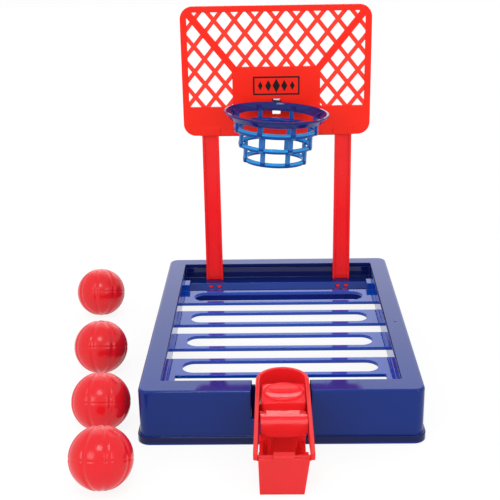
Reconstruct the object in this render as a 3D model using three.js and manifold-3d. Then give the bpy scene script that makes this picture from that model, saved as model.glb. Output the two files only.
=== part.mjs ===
// A tabletop basketball game, in millimetres.
// X is to the right, Y runs from the player to the backboard and Z is up.
// The origin is on the table, in the middle of the base's front wall.
import * as THREE from "three";
import { mergeVertices } from "three/addons/utils/BufferGeometryUtils.js";
import Module from "manifold-3d";

const wasm = await Module();
wasm.setup();

// Clearances
const fit = 0.3; // between neighbouring mouldings
const overrun = 3; // how far a cutter passes the face that it cuts
const embed = 0.6; // how far a rib runs into the wall that it grows from

// Base frame: an open-bottomed shell with a broad flat rim
const baseWidth = 150;
const baseDepth = 195.5;
const baseHeight = 31;
const baseCornerRadius = 5.5;
const baseEdgeFillet = 1.6;
const baseWall = 2.2;
const rimThickness = 2.2;
const sideRim = 11.2;
const frontRim = 12.6;
const rearRim = 10.5;
const openingRadius = 0.8;
const lipHeight = 4.6;
const lipProud = 1.4;
const lipFillet = 0.7;
const notchWidth = 31.6;
const notchSill = 14.5;
const notchCheek = 2;
const notchCheekDrop = 3;
const hookThickness = 1.6;
const hookWidth = 8;
const hookReach = 1.3;
const hookPlaceShares = [0.24, 0.76];

// Slatted tray: a skirt that stands under the rim, four slats and a hollow crossbar
const trayBottom = 14;
const skirtWall = 1.8;
const slatTop = 21.2;
const slatThickness = 2;
const slatWidth = 21.3;
const firstSlat = 47.9; // centre of the slat nearest the player
const slatPitch = 34.2;
const slatCount = 4;
const slotWidth = 14.1;
const slotLength = 111;
const crossbarDepth = 11.5;
const crossbarHeight = 5;
const crossbarWall = 1.6;
const windowWidth = 3.4;
const windowSpacing = 5.8;
const windowDrop = 1.9; // from the crossbar's top to the window's top
const rearBlockWidth = 4.4;
const rearBlockDepth = 8.5;
const rearBlockHeight = 4.4;
const frontBlockWidth = 5.2;
const frontBlockDepth = 7;

// Posts: channels that plug into the crossbar below and the backboard above
const postSpacing = 87;
const postFootWidth = 11.4;
const postTopWidth = 10.9;
const postDepth = 4.2;
const postFlange = 1.5;
const postRecess = 1.3;
const postSill = 1.6; // solid stretch under the channel
const postRearGap = 0.5; // from the post's back to the skirt behind it
const tenonWidth = 8.8;
const tenonThickness = 2.1;
const tenonInset = 1.5; // from the post's front face to the tenon's
const tenonHeight = 8;
const footDrop = 8.5;
const legGap = 2.2;
const legSlitHeight = 6.6;
const barbHeight = 2;
const barbProud = 0.9;

// Backboard: a framed plate with a lattice, a target panel and a slot for the hoop
const boardWidth = 120.4;
const boardHeight = 83.1;
const boardBottom = 123.1;
const boardThickness = 2.4;
const boardCornerRadius = 8;
const boardEdgeChamfer = 0.4;
const boardSideBand = 3.2;
const boardTopBand = 3.8;
const boardLowerBand = 19;
const latticePitchX = 13.1;
const latticePitchZ = 16.2;
const latticeTopNode = 8.9; // from the board's top to the first row of crossings
const latticeBar = 2.65;
const latticeSetback = 0.5;
const latticeThickness = 1.5;
const braceWidth = 4.45;
const panelWidth = 56.6;
const panelTop = 38.4; // from the board's top to the panel's
const fieldRecess = 0.4;
const fieldBorder = 3.9;
const fieldSideBorder = 3.8;
const fieldBottomBorder = 5.2;
const hookSlotWidth = 5.2;
const hookSlotHeight = 10.2;
const hookSlotBottom = 13.8; // from the board's bottom
const socketWall = 1.9;
const socketRise = 10;
const socketFrontRise = 5.1;
const socketFrontProud = 0.5;

// Hoop: a conical rim with a moulded net of three rings and eight stepped ribs
const hoopRadius = 32.4;
const hoopBottomRadius = 29.3;
const hoopBandHeight = 4.6;
const hoopWall = 1.5;
const hoopLipHeight = 1.1;
const hoopLipWidth = 1.7;
const hoopLedgeWidth = 3.2; // the rim's turned-in bottom, which the ribs hang from
const hoopLedgeHeight = 1;
const hoopGap = 1.9; // from the rim to the board's face
const hoopRise = 9.1; // from the bottom of the board's slot to the rim's top
const hoopRollDegrees = 3.2; // it hangs a little askew in its slot
const hoopTiltDegrees = 0.9;
const ringRadii = [26.4, 23.1, 19.9];
const ringTops = [8.8, 18.9, 28.2]; // below the rim's top
const ringHeights = [3.4, 2.9, 2.9];
const ringDepths = [3.2, 2.9, 2.7];
const ringChamferShare = 0.26;
const ribProud = 0.8;
const ribThickness = 1.8;
const ribWidth = 3.3;
const ribCount = 8;
const neckWidth = 4.2;
const neckHeight = 4;
const neckHeadWidth = 6.8;
const neckHeadThickness = 1.8;

// Launcher housing: a band, round at the back, that straddles the notch's sill
const housingBackHalfWidth = 14;
const housingFrontHalfWidth = 14.9;
const housingWall = 2.1;
const housingArcCentre = 10;
const housingFront = 47.4; // how far it stands out before the base
const launcherShift = 0.8; // it sits a little to the right in its notch
const housingTop = 33;
const housingShoulder = 6; // where the sloping top edge begins
const housingFrontTop = 22.2;
const housingFrontBottom = 18.8;
const housingMiddleBottom = 15.5;
const housingMiddle = 8;
const frontBarSetback = 2.1;
const frontBarDepth = 2.2;
const frontBarHeight = 2.5;
const frontBarDrop = 0.8;
const saddleFloor = 1.8;
const saddleWall = 1.8;
const saddleDrop = 9;
const saddleWidth = 22;
const saddleFloorBack = 9;

// Launcher foot: a tapered box that hooks over the housing's front bar
const footTopHalfWidth = 12.5;
const footBottomHalfWidth = 10.85;
const footHeight = 20.9;
const footWall = 1.8;
const footLength = 33.1;
const footWaist = 10.5; // height of the low stretch of its side walls
const footWaistStart = 20; // from its front
const footSlope = 9; // length of the slope down to the low stretch
const bulkheadHeight = 16.5;
const bulkheadHalfWidth = 8;
const channelHalfWidth = 5.1;
const channelDepth = 1;
const tabHeight = 1.2;

// Launcher lever: a dish at the back, a press pad in front, a trunnion each side
const pivotForward = 8; // before the base's front wall
const pivotHeight = 21;
const trunnionRadius = 1.5;
const trunnionBossRadius = 2.7;
const trunnionEndGap = 0.4;
const dishPlateHalfWidth = 11.3;
const dishPlateBack = 12;
const dishPlateFront = 7.2;
const dishPlateBackTop = 28.2;
const dishPlateFrontTop = 29.5;
const dishSkirt = 5.6;
const dishRadius = 10.3;
const dishDepth = 2.2;
const dishCentre = 2;
const leverWall = 1.6;
const webHalfWidth = 10.3;
const webTop = 24;
const webBottom = 18.2;
const webFront = 12;
const padHalfWidth = 12;
const padBack = 16.9;
const padFront = 25.3;
const padFrontToe = 26.4;
const padTop = 27;
const padBottom = 19.5;
const padCornerRadius = 2.4;
const leverRestGap = 0.3;
const restRibWidth = 3;
const restRibPlace = 6; // centre of the rib that rests on the saddle's floor

// Balls: welded from two half shells each
const ballRadius = 16;
const ballWall = 1.4;
const ballClearance = 3.5; // from the base's side to the row of balls at its front
const ballRowLeanShare = 0.157; // the row leans outward towards the rear
const ballPlaceShares = [-0.2, 0.09, 0.44, 0.885]; // of the base's depth

// Roundness of curved pieces
const arcSteps = 5;
const slotArcSteps = 8;
const ringSides = 56;
const ballSides = 24;
const ballArcSteps = 6;
const dishSides = 40;
const dishArcSteps = 4;
const trunnionSides = 20;

// Colours
const navy = { color: 0x1d3a8c, roughness: 0.28, metalness: 0 };
const red = { color: 0xe9292c, roughness: 0.3, metalness: 0 };
const orangeRed = { color: 0xf23a2b, roughness: 0.35, metalness: 0 };
const ballRed = { color: 0xe83238, roughness: 0.22, metalness: 0 };

// Worked out from the sizes above
const halfWidth = baseWidth / 2;
const openingHalf = halfWidth - sideRim;
const openingFront = frontRim;
const openingRear = baseDepth - rearRim;
const skirtOuter = openingHalf + skirtWall;
const trayTop = baseHeight - rimThickness - fit;
const crossbarFront = openingRear - crossbarDepth;
const crossbarBottom = slatTop - crossbarHeight;
const postX = postSpacing / 2;
const postBack = openingRear - postRearGap;
const postFront = postBack - postDepth;
const tenonFront = postFront + tenonInset;
const tenonBack = tenonFront + tenonThickness;
const boardFront = postFront;
const boardBack = boardFront + boardThickness;
const boardHalf = boardWidth / 2;
const boardTop = boardBottom + boardHeight;
const hoopCentreY = boardFront - hoopGap - hoopRadius;
const hoopTop = boardBottom + hookSlotBottom + hoopRise;
const housingBackWallTip = housingArcCentre + housingBackHalfWidth;
const saddleTop = notchSill + fit + saddleFloor;

// A closed geometry as a solid that can be joined and cut.
function solid(geometry) {
  const bare = new THREE.BufferGeometry();
  bare.setAttribute("position", geometry.getAttribute("position").clone());
  if (geometry.index) bare.setIndex(geometry.index);
  const merged = mergeVertices(bare, 1e-4);
  const index = Array.from(merged.index.array);
  const kept = [];
  for (let i = 0; i < index.length; i += 3) {
    const [a, b, c] = index.slice(i, i + 3);
    if (a !== b && b !== c && a !== c) kept.push(a, b, c);
  }
  return new wasm.Manifold(
    new wasm.Mesh({
      numProp: 3,
      vertProperties: merged.attributes.position.array,
      triVerts: new Uint32Array(kept),
    }),
  );
}

// A solid as a geometry with flat faces.
function geometryOf(made) {
  const mesh = made.getMesh();
  const geometry = new THREE.BufferGeometry();
  const points = new Float32Array(mesh.numVert * 3);
  for (let i = 0; i < mesh.numVert; i++) {
    points.set(mesh.vertProperties.subarray(i * mesh.numProp, i * mesh.numProp + 3), i * 3);
  }
  geometry.setAttribute("position", new THREE.BufferAttribute(points, 3));
  geometry.setIndex(new THREE.BufferAttribute(mesh.triVerts, 1));
  const flat = geometry.toNonIndexed();
  flat.computeVertexNormals();
  return flat;
}

function join(solids) {
  return solids.reduce((whole, next) => whole.add(next));
}

function block(x0, x1, y0, y1, z0, z1) {
  const geometry = new THREE.BoxGeometry(x1 - x0, y1 - y0, z1 - z0);
  return solid(geometry.translate((x0 + x1) / 2, (y0 + y1) / 2, (z0 + z1) / 2));
}

// A block and its mirror image on the other side of the middle plane.
function pair(x0, x1, y0, y1, z0, z1) {
  return block(x0, x1, y0, y1, z0, z1).add(block(-x1, -x0, y0, y1, z0, z1));
}

function outline(points) {
  return new THREE.Shape(points.map(([a, b]) => new THREE.Vector2(a, b)));
}

function roundedOutline(a0, a1, b0, b1, radius) {
  const shape = new THREE.Shape();
  shape.absarc(a1 - radius, b0 + radius, radius, -Math.PI / 2, 0);
  shape.absarc(a1 - radius, b1 - radius, radius, 0, Math.PI / 2);
  shape.absarc(a0 + radius, b1 - radius, radius, Math.PI / 2, Math.PI);
  shape.absarc(a0 + radius, b0 + radius, radius, Math.PI, 1.5 * Math.PI);
  return shape;
}

function extruded(shape, length, steps) {
  return new THREE.ExtrudeGeometry(shape, {
    depth: length,
    bevelEnabled: false,
    curveSegments: steps,
  });
}

// An outline in X and Y, raised from z0 to z1.
function raised(shape, z0, z1, steps = arcSteps) {
  return solid(extruded(shape, z1 - z0, steps).translate(0, 0, z0));
}

// An outline in X and Z, run from y0 to y1.
function runAlongY(shape, y0, y1, steps = arcSteps) {
  const turn = new THREE.Matrix4().makeRotationX(Math.PI / 2);
  return solid(extruded(shape, y1 - y0, steps).applyMatrix4(turn).translate(0, y1, 0));
}

// An outline in Y and Z, run from x0 to x1.
function runAlongX(shape, x0, x1, steps = arcSteps) {
  const turn = new THREE.Matrix4().makeBasis(
    new THREE.Vector3(0, 1, 0),
    new THREE.Vector3(0, 0, 1),
    new THREE.Vector3(1, 0, 0),
  );
  return solid(extruded(shape, x1 - x0, steps).applyMatrix4(turn).translate(x0, 0, 0));
}

// An outline of radius and height, run anticlockwise, turned round the Z axis.
function turned(points, sides) {
  const profile = points.map(([r, z]) => new THREE.Vector2(r, z));
  return solid(new THREE.LatheGeometry(profile, sides).rotateX(Math.PI / 2));
}

function cylinderAlongX(radius, x0, x1, y, z) {
  const geometry = new THREE.CylinderGeometry(radius, radius, x1 - x0, trunnionSides);
  return solid(geometry.rotateZ(Math.PI / 2).translate((x0 + x1) / 2, y, z));
}

function piece(name, made, finish) {
  const material = new THREE.MeshStandardMaterial(finish);
  const mesh = new THREE.Mesh(geometryOf(made), material);
  mesh.name = name;
  return mesh;
}

// The base's plan, grown outward by the given amount.
function basePlan(grow) {
  const radius = baseCornerRadius + grow;
  return roundedOutline(-halfWidth - grow, halfWidth + grow, -grow, baseDepth + grow, radius);
}

// The plan raised from the table to a height, with its upper edge rounded.
function roundedSlab(grow, height, fillet) {
  const geometry = new THREE.ExtrudeGeometry(basePlan(grow - fillet), {
    depth: height,
    bevelEnabled: true,
    bevelThickness: fillet,
    bevelSize: fillet,
    bevelSegments: 3,
    curveSegments: arcSteps,
  });
  const slab = solid(geometry.translate(0, 0, -fillet));
  const reach = baseWidth + baseDepth;
  return slab.subtract(block(-reach, reach, -reach, reach, -reach, 0));
}

// A snap hook that hangs from the rim and holds the tray's skirt from below.
function trayHook(side, y) {
  const inner = skirtOuter + fit;
  const top = baseHeight - rimThickness + embed;
  const low = trayBottom - fit - hookThickness;
  const y0 = y - hookWidth / 2;
  const y1 = y + hookWidth / 2;
  const stem = [inner, inner + hookThickness];
  const toe = [skirtOuter - hookReach, inner + hookThickness];
  const across = ([a, b]) => (side > 0 ? [a, b] : [-b, -a]);
  const [s0, s1] = across(stem);
  const [t0, t1] = across(toe);
  return block(s0, s1, y0, y1, low, top).add(block(t0, t1, y0, y1, low, low + hookThickness));
}

function baseFrame() {
  const half = notchWidth / 2;
  const underRim = baseHeight - rimThickness;
  let frame = roundedSlab(0, baseHeight, baseEdgeFillet).add(
    roundedSlab(lipProud, lipHeight, lipFillet),
  );
  frame = frame.subtract(raised(basePlan(-baseWall), -overrun, underRim));
  const opening = roundedOutline(
    -openingHalf, openingHalf, openingFront, openingRear, openingRadius,
  );
  frame = frame.subtract(raised(opening, -overrun, baseHeight + overrun));
  frame = frame.add(
    pair(half, half + notchCheek, baseWall - embed, openingFront,
      notchSill - notchCheekDrop, underRim + embed),
  );
  frame = frame.subtract(
    block(-half, half, -overrun, openingFront + overrun, notchSill, baseHeight + overrun),
  );
  const hooks = hookPlaceShares.flatMap((share) =>
    [-1, 1].map((side) => trayHook(side, baseDepth * share)),
  );
  return join([frame, ...hooks]);
}

// One cross slat with its long round-ended slot.
function slat(y) {
  const reach = openingHalf + skirtWall / 2;
  const plate = block(
    -reach, reach, y - slatWidth / 2, y + slatWidth / 2, slatTop - slatThickness, slatTop,
  );
  const radius = slotWidth / 2;
  const slot = roundedOutline(
    -slotLength / 2, slotLength / 2, y - radius, y + radius, radius,
  );
  return plate.subtract(
    raised(slot, slatTop - slatThickness - overrun, slatTop + overrun, slotArcSteps),
  );
}

// The window through which a post's leg can be seen, flat above and round below.
function legWindow(x) {
  const radius = windowWidth / 2;
  const top = slatTop - windowDrop;
  const shape = new THREE.Shape();
  shape.absarc(x, top - radius / 2, radius, Math.PI, 2 * Math.PI);
  shape.lineTo(x + radius, top);
  shape.lineTo(x - radius, top);
  return runAlongY(shape, crossbarFront - overrun, crossbarFront + crossbarWall + overrun);
}

function crossbar() {
  const reach = openingHalf + skirtWall / 2;
  let bar = block(
    -reach, reach, crossbarFront, openingRear + skirtWall / 2, slatTop - crossbarWall, slatTop,
  );
  bar = bar.add(
    block(-reach, reach, crossbarFront, crossbarFront + crossbarWall, crossbarBottom, slatTop),
  );
  for (const side of [-1, 1]) {
    const x = side * postX;
    const half = tenonWidth / 2 + fit;
    bar = bar.subtract(
      block(x - half, x + half, tenonFront - fit, tenonBack + fit,
        crossbarBottom, slatTop + overrun),
    );
    for (const end of [-1, 1]) {
      bar = bar.subtract(legWindow(x + (end * windowSpacing) / 2));
    }
  }
  return bar;
}

function slattedTray() {
  const outer = roundedOutline(
    -skirtOuter, skirtOuter, openingFront - skirtWall, openingRear + skirtWall,
    openingRadius + skirtWall,
  );
  const inner = roundedOutline(
    -openingHalf, openingHalf, openingFront, openingRear, openingRadius,
  );
  let tray = raised(outer, trayBottom, trayTop).subtract(
    raised(inner, trayBottom - overrun, trayTop + overrun),
  );
  const clear = notchWidth / 2 + notchCheek + fit;
  tray = tray.subtract(
    block(-clear, clear, 0, openingFront + overrun, trayBottom - overrun, trayTop + overrun),
  );
  for (let i = 0; i < slatCount; i++) tray = tray.add(slat(firstSlat + i * slatPitch));
  tray = tray.add(crossbar());
  const wallMiddle = openingHalf + skirtWall / 2;
  const firstEdge = firstSlat - slatWidth / 2;
  const lastEdge = firstSlat + (slatCount - 1) * slatPitch + slatWidth / 2;
  tray = tray.add(
    pair(openingHalf - frontBlockWidth, wallMiddle, firstEdge - frontBlockDepth,
      firstEdge + embed, slatTop - slatThickness, slatTop),
  );
  return tray.add(
    pair(openingHalf - rearBlockWidth, wallMiddle, lastEdge - embed,
      lastEdge - embed + rearBlockDepth, slatTop - slatThickness, slatTop + rearBlockHeight),
  );
}

// A channel post, standing at x = 0.
function post() {
  const foot = postFootWidth / 2;
  const top = postTopWidth / 2;
  const body = outline([
    [-foot, slatTop], [foot, slatTop], [top, boardBottom], [-top, boardBottom],
  ]);
  const groove = outline([
    [-foot + postFlange, slatTop + postSill],
    [foot - postFlange, slatTop + postSill],
    [top - postFlange, boardBottom + overrun],
    [-top + postFlange, boardBottom + overrun],
  ]);
  let made = runAlongY(body, postFront, postBack);
  made = made.subtract(runAlongY(groove, postFront - overrun, postFront + postRecess));
  made = made.subtract(runAlongY(groove, postBack - postRecess, postBack + overrun));
  const half = tenonWidth / 2;
  const footEnd = slatTop - footDrop;
  made = made.add(
    block(-half, half, tenonFront, tenonBack, footEnd, boardBottom + tenonHeight),
  );
  const barbTop = slatTop - crossbarWall - fit;
  const barb = outline([
    [tenonFront + embed, barbTop],
    [tenonFront - barbProud, barbTop],
    [tenonFront, barbTop - barbHeight],
    [tenonFront + embed, barbTop - barbHeight],
  ]);
  made = made.add(runAlongX(barb, -half, half));
  return made.subtract(
    block(-legGap / 2, legGap / 2, tenonFront - overrun, tenonBack + overrun,
      footEnd - overrun, footEnd + legSlitHeight),
  );
}

// The outline of the lattice window, before the panel and braces cross it.
function latticeWindow() {
  const side = boardHalf - boardSideBand;
  const low = boardBottom + boardLowerBand;
  const high = boardTop - boardTopBand;
  return roundedOutline(-side, side, low, high, boardCornerRadius / 2);
}

// One diamond hole of the lattice, centred at x and z.
function diamond(x, z) {
  const a = latticePitchX / 2;
  const b = latticePitchZ / 2;
  const share = 1 - latticeBar / 2 / ((a * b) / Math.hypot(a, b));
  return outline([
    [x, z - b * share], [x + a * share, z], [x, z + b * share], [x - a * share, z],
  ]);
}

function lattice() {
  const front = boardFront + latticeSetback;
  const sheet = runAlongY(latticeWindow(), front, front + latticeThickness);
  const columns = Math.ceil(boardWidth / latticePitchX) + 1;
  const rows = Math.ceil((boardHeight - boardLowerBand) / latticePitchZ) + 1;
  const holes = [];
  for (let i = -columns; i <= columns; i++) {
    for (let j = -2; j <= 2 * rows; j++) {
      if ((i + j) % 2 === 0) continue;
      const x = (i * latticePitchX) / 2;
      const z = boardTop - latticeTopNode - (j * latticePitchZ) / 2;
      if (Math.abs(x) > boardHalf || z > boardTop || z < boardBottom) continue;
      holes.push(runAlongY(diamond(x, z), front - overrun, front + latticeThickness + overrun));
    }
  }
  return sheet.subtract(join(holes));
}

// A broad brace from a corner of the window down to the panel's corner.
function brace(side) {
  const rise = latticePitchZ / latticePitchX;
  const x0 = (side * panelWidth) / 2;
  const z0 = boardTop - panelTop;
  const z1 = boardTop - boardTopBand / 2;
  const x1 = x0 + (side * (z1 - z0)) / rise;
  const halfRun = (braceWidth / 2) * Math.hypot(1, 1 / rise);
  const drop = halfRun * rise;
  const points = [[x0 - halfRun, z0], [x0, z0 - drop], [x0 + halfRun, z0],
    [x1 + halfRun, z1], [x1 - halfRun, z1]];
  const ordered = side > 0 ? points : points.reverse();
  return runAlongY(outline(ordered), boardFront - overrun, boardBack + overrun);
}

// The shallow field inside the borders of the lower band and the panel.
function boardField() {
  const side = boardHalf - fieldSideBorder;
  const column = panelWidth / 2 - fieldBorder;
  const low = boardBottom + fieldBottomBorder;
  const shoulder = boardBottom + boardLowerBand - fieldBorder;
  const high = boardTop - panelTop - fieldBorder;
  const shape = outline([
    [-side, low], [side, low], [side, shoulder], [column, shoulder],
    [column, high], [-column, high], [-column, shoulder], [-side, shoulder],
  ]);
  return runAlongY(shape, boardFront - overrun, boardFront + fieldRecess);
}

// The raised patch and the pocket that take a post's tenon.
function socket(x) {
  const half = postFootWidth / 2 + socketWall / 2;
  const front = block(
    x - half, x + half, boardFront - socketFrontProud, boardFront + boardThickness / 2,
    boardBottom, boardBottom + socketFrontRise,
  );
  const back = block(
    x - half, x + half, boardBack - embed, tenonBack + fit + socketWall,
    boardBottom, boardBottom + socketRise,
  );
  return front.add(back);
}

function pocket(x) {
  const half = tenonWidth / 2 + fit;
  return block(
    x - half, x + half, tenonFront - fit, tenonBack + fit,
    boardBottom - overrun, boardBottom + tenonHeight + fit,
  );
}

function backboard() {
  const edge = boardEdgeChamfer;
  const plate = new THREE.ExtrudeGeometry(
    roundedOutline(
      -boardHalf + edge, boardHalf - edge, boardBottom + edge, boardTop - edge,
      boardCornerRadius - edge,
    ),
    {
      depth: boardThickness - 2 * edge,
      bevelEnabled: true,
      bevelThickness: edge,
      bevelSize: edge,
      bevelSegments: 1,
      curveSegments: slotArcSteps,
    },
  );
  plate.rotateX(Math.PI / 2).translate(0, boardBack - edge, 0);
  const whole = solid(plate);
  const half = panelWidth / 2;
  const panel = block(
    -half, half, boardFront - overrun, boardBack + overrun, boardBottom,
    boardTop - panelTop,
  );
  const kept = whole.intersect(join([panel, brace(-1), brace(1)]));
  const frame = whole.subtract(
    runAlongY(latticeWindow(), boardFront - overrun, boardBack + overrun),
  );
  let board = join([frame, kept, lattice()]);
  board = board.subtract(boardField());
  board = join([board, socket(-postX), socket(postX)]);
  board = board.subtract(pocket(-postX)).subtract(pocket(postX));
  const slotLow = boardBottom + hookSlotBottom;
  return board.subtract(
    block(-hookSlotWidth / 2, hookSlotWidth / 2, boardFront - overrun, boardBack + overrun,
      slotLow, slotLow + hookSlotHeight),
  );
}

// One ring of the net, with chamfered corners.
function netRing(i) {
  const outer = ringRadii[i];
  const inner = outer - ringDepths[i];
  const top = -ringTops[i];
  const low = top - ringHeights[i];
  const c = ringHeights[i] * ringChamferShare;
  return turned(
    [[inner + c, low], [outer - c, low], [outer, low + c], [outer, top - c],
      [outer - c, top], [inner + c, top], [inner, top - c], [inner, low + c],
      [inner + c, low]],
    ringSides,
  );
}

// One stepped tier of ribs, from a height down to the foot of its ring.
function ribTier(i, top) {
  const outer = ringRadii[i] + ribProud;
  const low = -ringTops[i] - ringHeights[i];
  const ribs = [];
  for (let n = 0; n < ribCount; n++) {
    const geometry = new THREE.BoxGeometry(ribThickness, ribWidth, top - low);
    geometry.translate(outer - ribThickness / 2, 0, (top + low) / 2);
    geometry.rotateZ(((n + 0.5) * 2 * Math.PI) / ribCount);
    ribs.push(solid(geometry));
  }
  return join(ribs);
}

// The hoop, about the middle of its rim's top.
function hoop() {
  const lip = hoopRadius - hoopLipWidth;
  const bottom = -hoopBandHeight;
  const taperTop = hoopRadius - hoopLipHeight;
  const ledge = hoopBottomRadius - hoopLedgeWidth;
  const ledgeTop = bottom + hoopLedgeHeight;
  const rim = turned(
    [[ledge, bottom], [hoopBottomRadius, bottom],
      [taperTop, -hoopLipHeight - hoopWall / 2], [hoopRadius, -hoopLipHeight],
      [hoopRadius, -hoopLipHeight / 3], [hoopRadius - hoopLipHeight / 3, 0], [lip, 0],
      [taperTop - hoopWall, -hoopLipHeight - hoopWall / 2],
      [hoopBottomRadius - hoopWall, ledgeTop], [ledge, ledgeTop], [ledge, bottom]],
    ringSides,
  );
  const made = [rim];
  for (let i = 0; i < ringRadii.length; i++) {
    const top = i === 0 ? ledgeTop - hoopLedgeHeight / 2 : -ringTops[i - 1] - ringHeights[i - 1] / 2;
    made.push(netRing(i), ribTier(i, top));
  }
  const face = hoopRadius + hoopGap;
  const headFront = face + boardThickness + fit;
  const neckTop = -hoopLipHeight / 3;
  const neckLow = neckTop - neckHeight;
  made.push(
    block(-neckWidth / 2, neckWidth / 2, lip, headFront + embed, neckLow, neckTop),
    block(-neckHeadWidth / 2, neckHeadWidth / 2, headFront, headFront + neckHeadThickness,
      neckLow, neckTop),
  );
  return join(made);
}

// Half the housing's width at a distance before the round back's centre.
function housingHalfWidth(y) {
  const share = (housingArcCentre - y) / (housingArcCentre + housingFront);
  return housingBackHalfWidth + (housingFrontHalfWidth - housingBackHalfWidth) * share;
}

// The housing's wall in plan: two flared sides and a round back.
function housingPlan() {
  const inner = housingBackHalfWidth - housingWall;
  const shape = new THREE.Shape();
  shape.moveTo(housingFrontHalfWidth - housingWall, -housingFront);
  shape.lineTo(housingFrontHalfWidth, -housingFront);
  shape.absarc(0, housingArcCentre, housingBackHalfWidth, 0, Math.PI);
  shape.lineTo(-housingFrontHalfWidth, -housingFront);
  shape.lineTo(-housingFrontHalfWidth + housingWall, -housingFront);
  shape.absarc(0, housingArcCentre, inner, Math.PI, 0, true);
  return shape;
}

function launcherHousing() {
  const sillTop = notchSill + fit;
  const end = housingBackWallTip + overrun;
  const side = outline([
    [-housingFront - overrun, housingFrontBottom],
    [-housingMiddle, housingMiddleBottom],
    [-fit, sillTop],
    [end, sillTop],
    [end, housingTop],
    [housingShoulder, housingTop],
    [-housingFront - overrun, housingFrontTop],
  ]);
  const reach = housingFrontHalfWidth + overrun;
  let housing = raised(housingPlan(), 0, housingTop + overrun, slotArcSteps * 2).intersect(
    runAlongX(side, -reach, reach),
  );
  const barFront = -housingFront + frontBarSetback;
  const barHalf = housingHalfWidth(barFront) - housingWall + embed;
  const barTop = housingFrontTop - frontBarDrop;
  const floorHalf = housingHalfWidth(0) - housingWall + embed;
  const saddleHalf = saddleWidth / 2;
  const saddleLow = sillTop - saddleDrop;
  housing = join([
    housing,
    block(-barHalf, barHalf, barFront, barFront + frontBarDepth,
      barTop - frontBarHeight, barTop),
    block(-floorHalf, floorHalf, -fit - saddleWall, saddleFloorBack, sillTop, saddleTop),
    block(-saddleHalf, saddleHalf, -fit - saddleWall, -fit, saddleLow, sillTop + embed),
    block(-saddleHalf, saddleHalf, baseWall + fit, baseWall + fit + saddleWall, saddleLow,
      sillTop + embed),
  ]);
  return housing.subtract(
    cylinderAlongX(trunnionRadius + fit, -reach, reach, -pivotForward, pivotHeight),
  );
}

// The foot's front view, inset by a wall.
function footOutline(inset) {
  const slope = (footTopHalfWidth - footBottomHalfWidth) / footHeight;
  const low = -overrun * Math.sign(inset);
  const high = footHeight - low;
  const halfAt = (z) => footBottomHalfWidth + slope * z - inset;
  return outline([
    [-halfAt(low), low], [halfAt(low), low], [halfAt(high), high], [-halfAt(high), high],
  ]);
}

function launcherFoot() {
  const front = -housingFront;
  const back = front + footLength;
  const inside = front + footWall;
  const underBar = housingFrontTop - frontBarDrop - frontBarHeight - fit;
  const waist = front + footWaistStart;
  const profile = outline([
    [front, 0], [back, 0], [back, footWaist], [waist, footWaist],
    [waist - footSlope, underBar], [inside, underBar], [inside, footHeight],
    [front, footHeight],
  ]);
  let foot = runAlongY(footOutline(0), front, back).intersect(
    runAlongX(profile, -footTopHalfWidth - overrun, footTopHalfWidth + overrun),
  );
  foot = foot.subtract(runAlongY(footOutline(footWall), inside, back - footWall));
  const bulkhead = block(
    -bulkheadHalfWidth, bulkheadHalfWidth, back - footWall - channelDepth, back, 0,
    bulkheadHeight,
  );
  const channel = block(
    -channelHalfWidth, channelHalfWidth, inside, back - footWall, -overrun,
    bulkheadHeight + overrun,
  );
  foot = foot.add(bulkhead.subtract(channel));
  const barTop = housingFrontTop - frontBarDrop;
  const tabBack = front + frontBarSetback + frontBarDepth + fit;
  const tabLow = barTop + fit;
  return join([
    foot,
    block(-channelHalfWidth, channelHalfWidth, front, inside, footHeight - embed,
      tabLow + tabHeight),
    block(-channelHalfWidth, channelHalfWidth, front, tabBack, tabLow, tabLow + tabHeight),
  ]);
}

// The dish: a shallow round hollow in the tilted plate.
function dishCutter() {
  const sphere = (dishRadius ** 2 + dishDepth ** 2) / (2 * dishDepth);
  const sweep = Math.asin(dishRadius / sphere);
  const points = [];
  for (let i = 0; i <= dishArcSteps; i++) {
    const angle = (sweep * i) / dishArcSteps;
    points.push([sphere * Math.sin(angle), sphere * (1 - Math.cos(angle)) - dishDepth]);
  }
  points.push([dishRadius, dishDepth], [0, dishDepth]);
  const rise = dishPlateBackTop - dishPlateFrontTop;
  const run = dishPlateBack + dishPlateFront;
  const top = dishPlateFrontTop + (rise * (dishCentre + dishPlateFront)) / run;
  const geometry = new THREE.LatheGeometry(
    points.map(([r, z]) => new THREE.Vector2(r, z)),
    dishSides,
  );
  geometry.rotateX(Math.PI / 2 + Math.atan(rise / run));
  return solid(geometry.translate(0, dishCentre, top));
}

// The dish plate, the web with the pivot and the press pad, as one solid block.
function leverBody() {
  const plate = outline([
    [-dishPlateFront, dishPlateFrontTop - dishSkirt],
    [dishPlateBack, dishPlateBackTop - dishSkirt],
    [dishPlateBack, dishPlateBackTop],
    [-dishPlateFront, dishPlateFrontTop],
  ]);
  const web = outline([
    [-padBack - leverWall, padBottom],
    [-webFront, webBottom],
    [restRibPlace, webBottom],
    [dishPlateBack - leverWall, dishPlateBackTop - dishSkirt + embed],
    [-webFront, webTop],
    [-padBack, padTop - embed],
    [-padBack - leverWall, padTop - embed],
  ]);
  const pad = outline([
    [-padFrontToe, padBottom],
    [-padBack + leverWall, padBottom],
    [-padBack, padTop],
    [-padFront, padTop],
  ]);
  const padFace = roundedOutline(
    -padHalfWidth, padHalfWidth, padBottom, padTop + padCornerRadius, padCornerRadius,
  );
  const padBlock = runAlongX(pad, -padHalfWidth, padHalfWidth).intersect(
    runAlongY(padFace, -padFrontToe - overrun, 0),
  );
  return join([
    runAlongX(plate, -dishPlateHalfWidth, dishPlateHalfWidth),
    runAlongX(web, -webHalfWidth, webHalfWidth),
    padBlock,
  ]);
}

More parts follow.
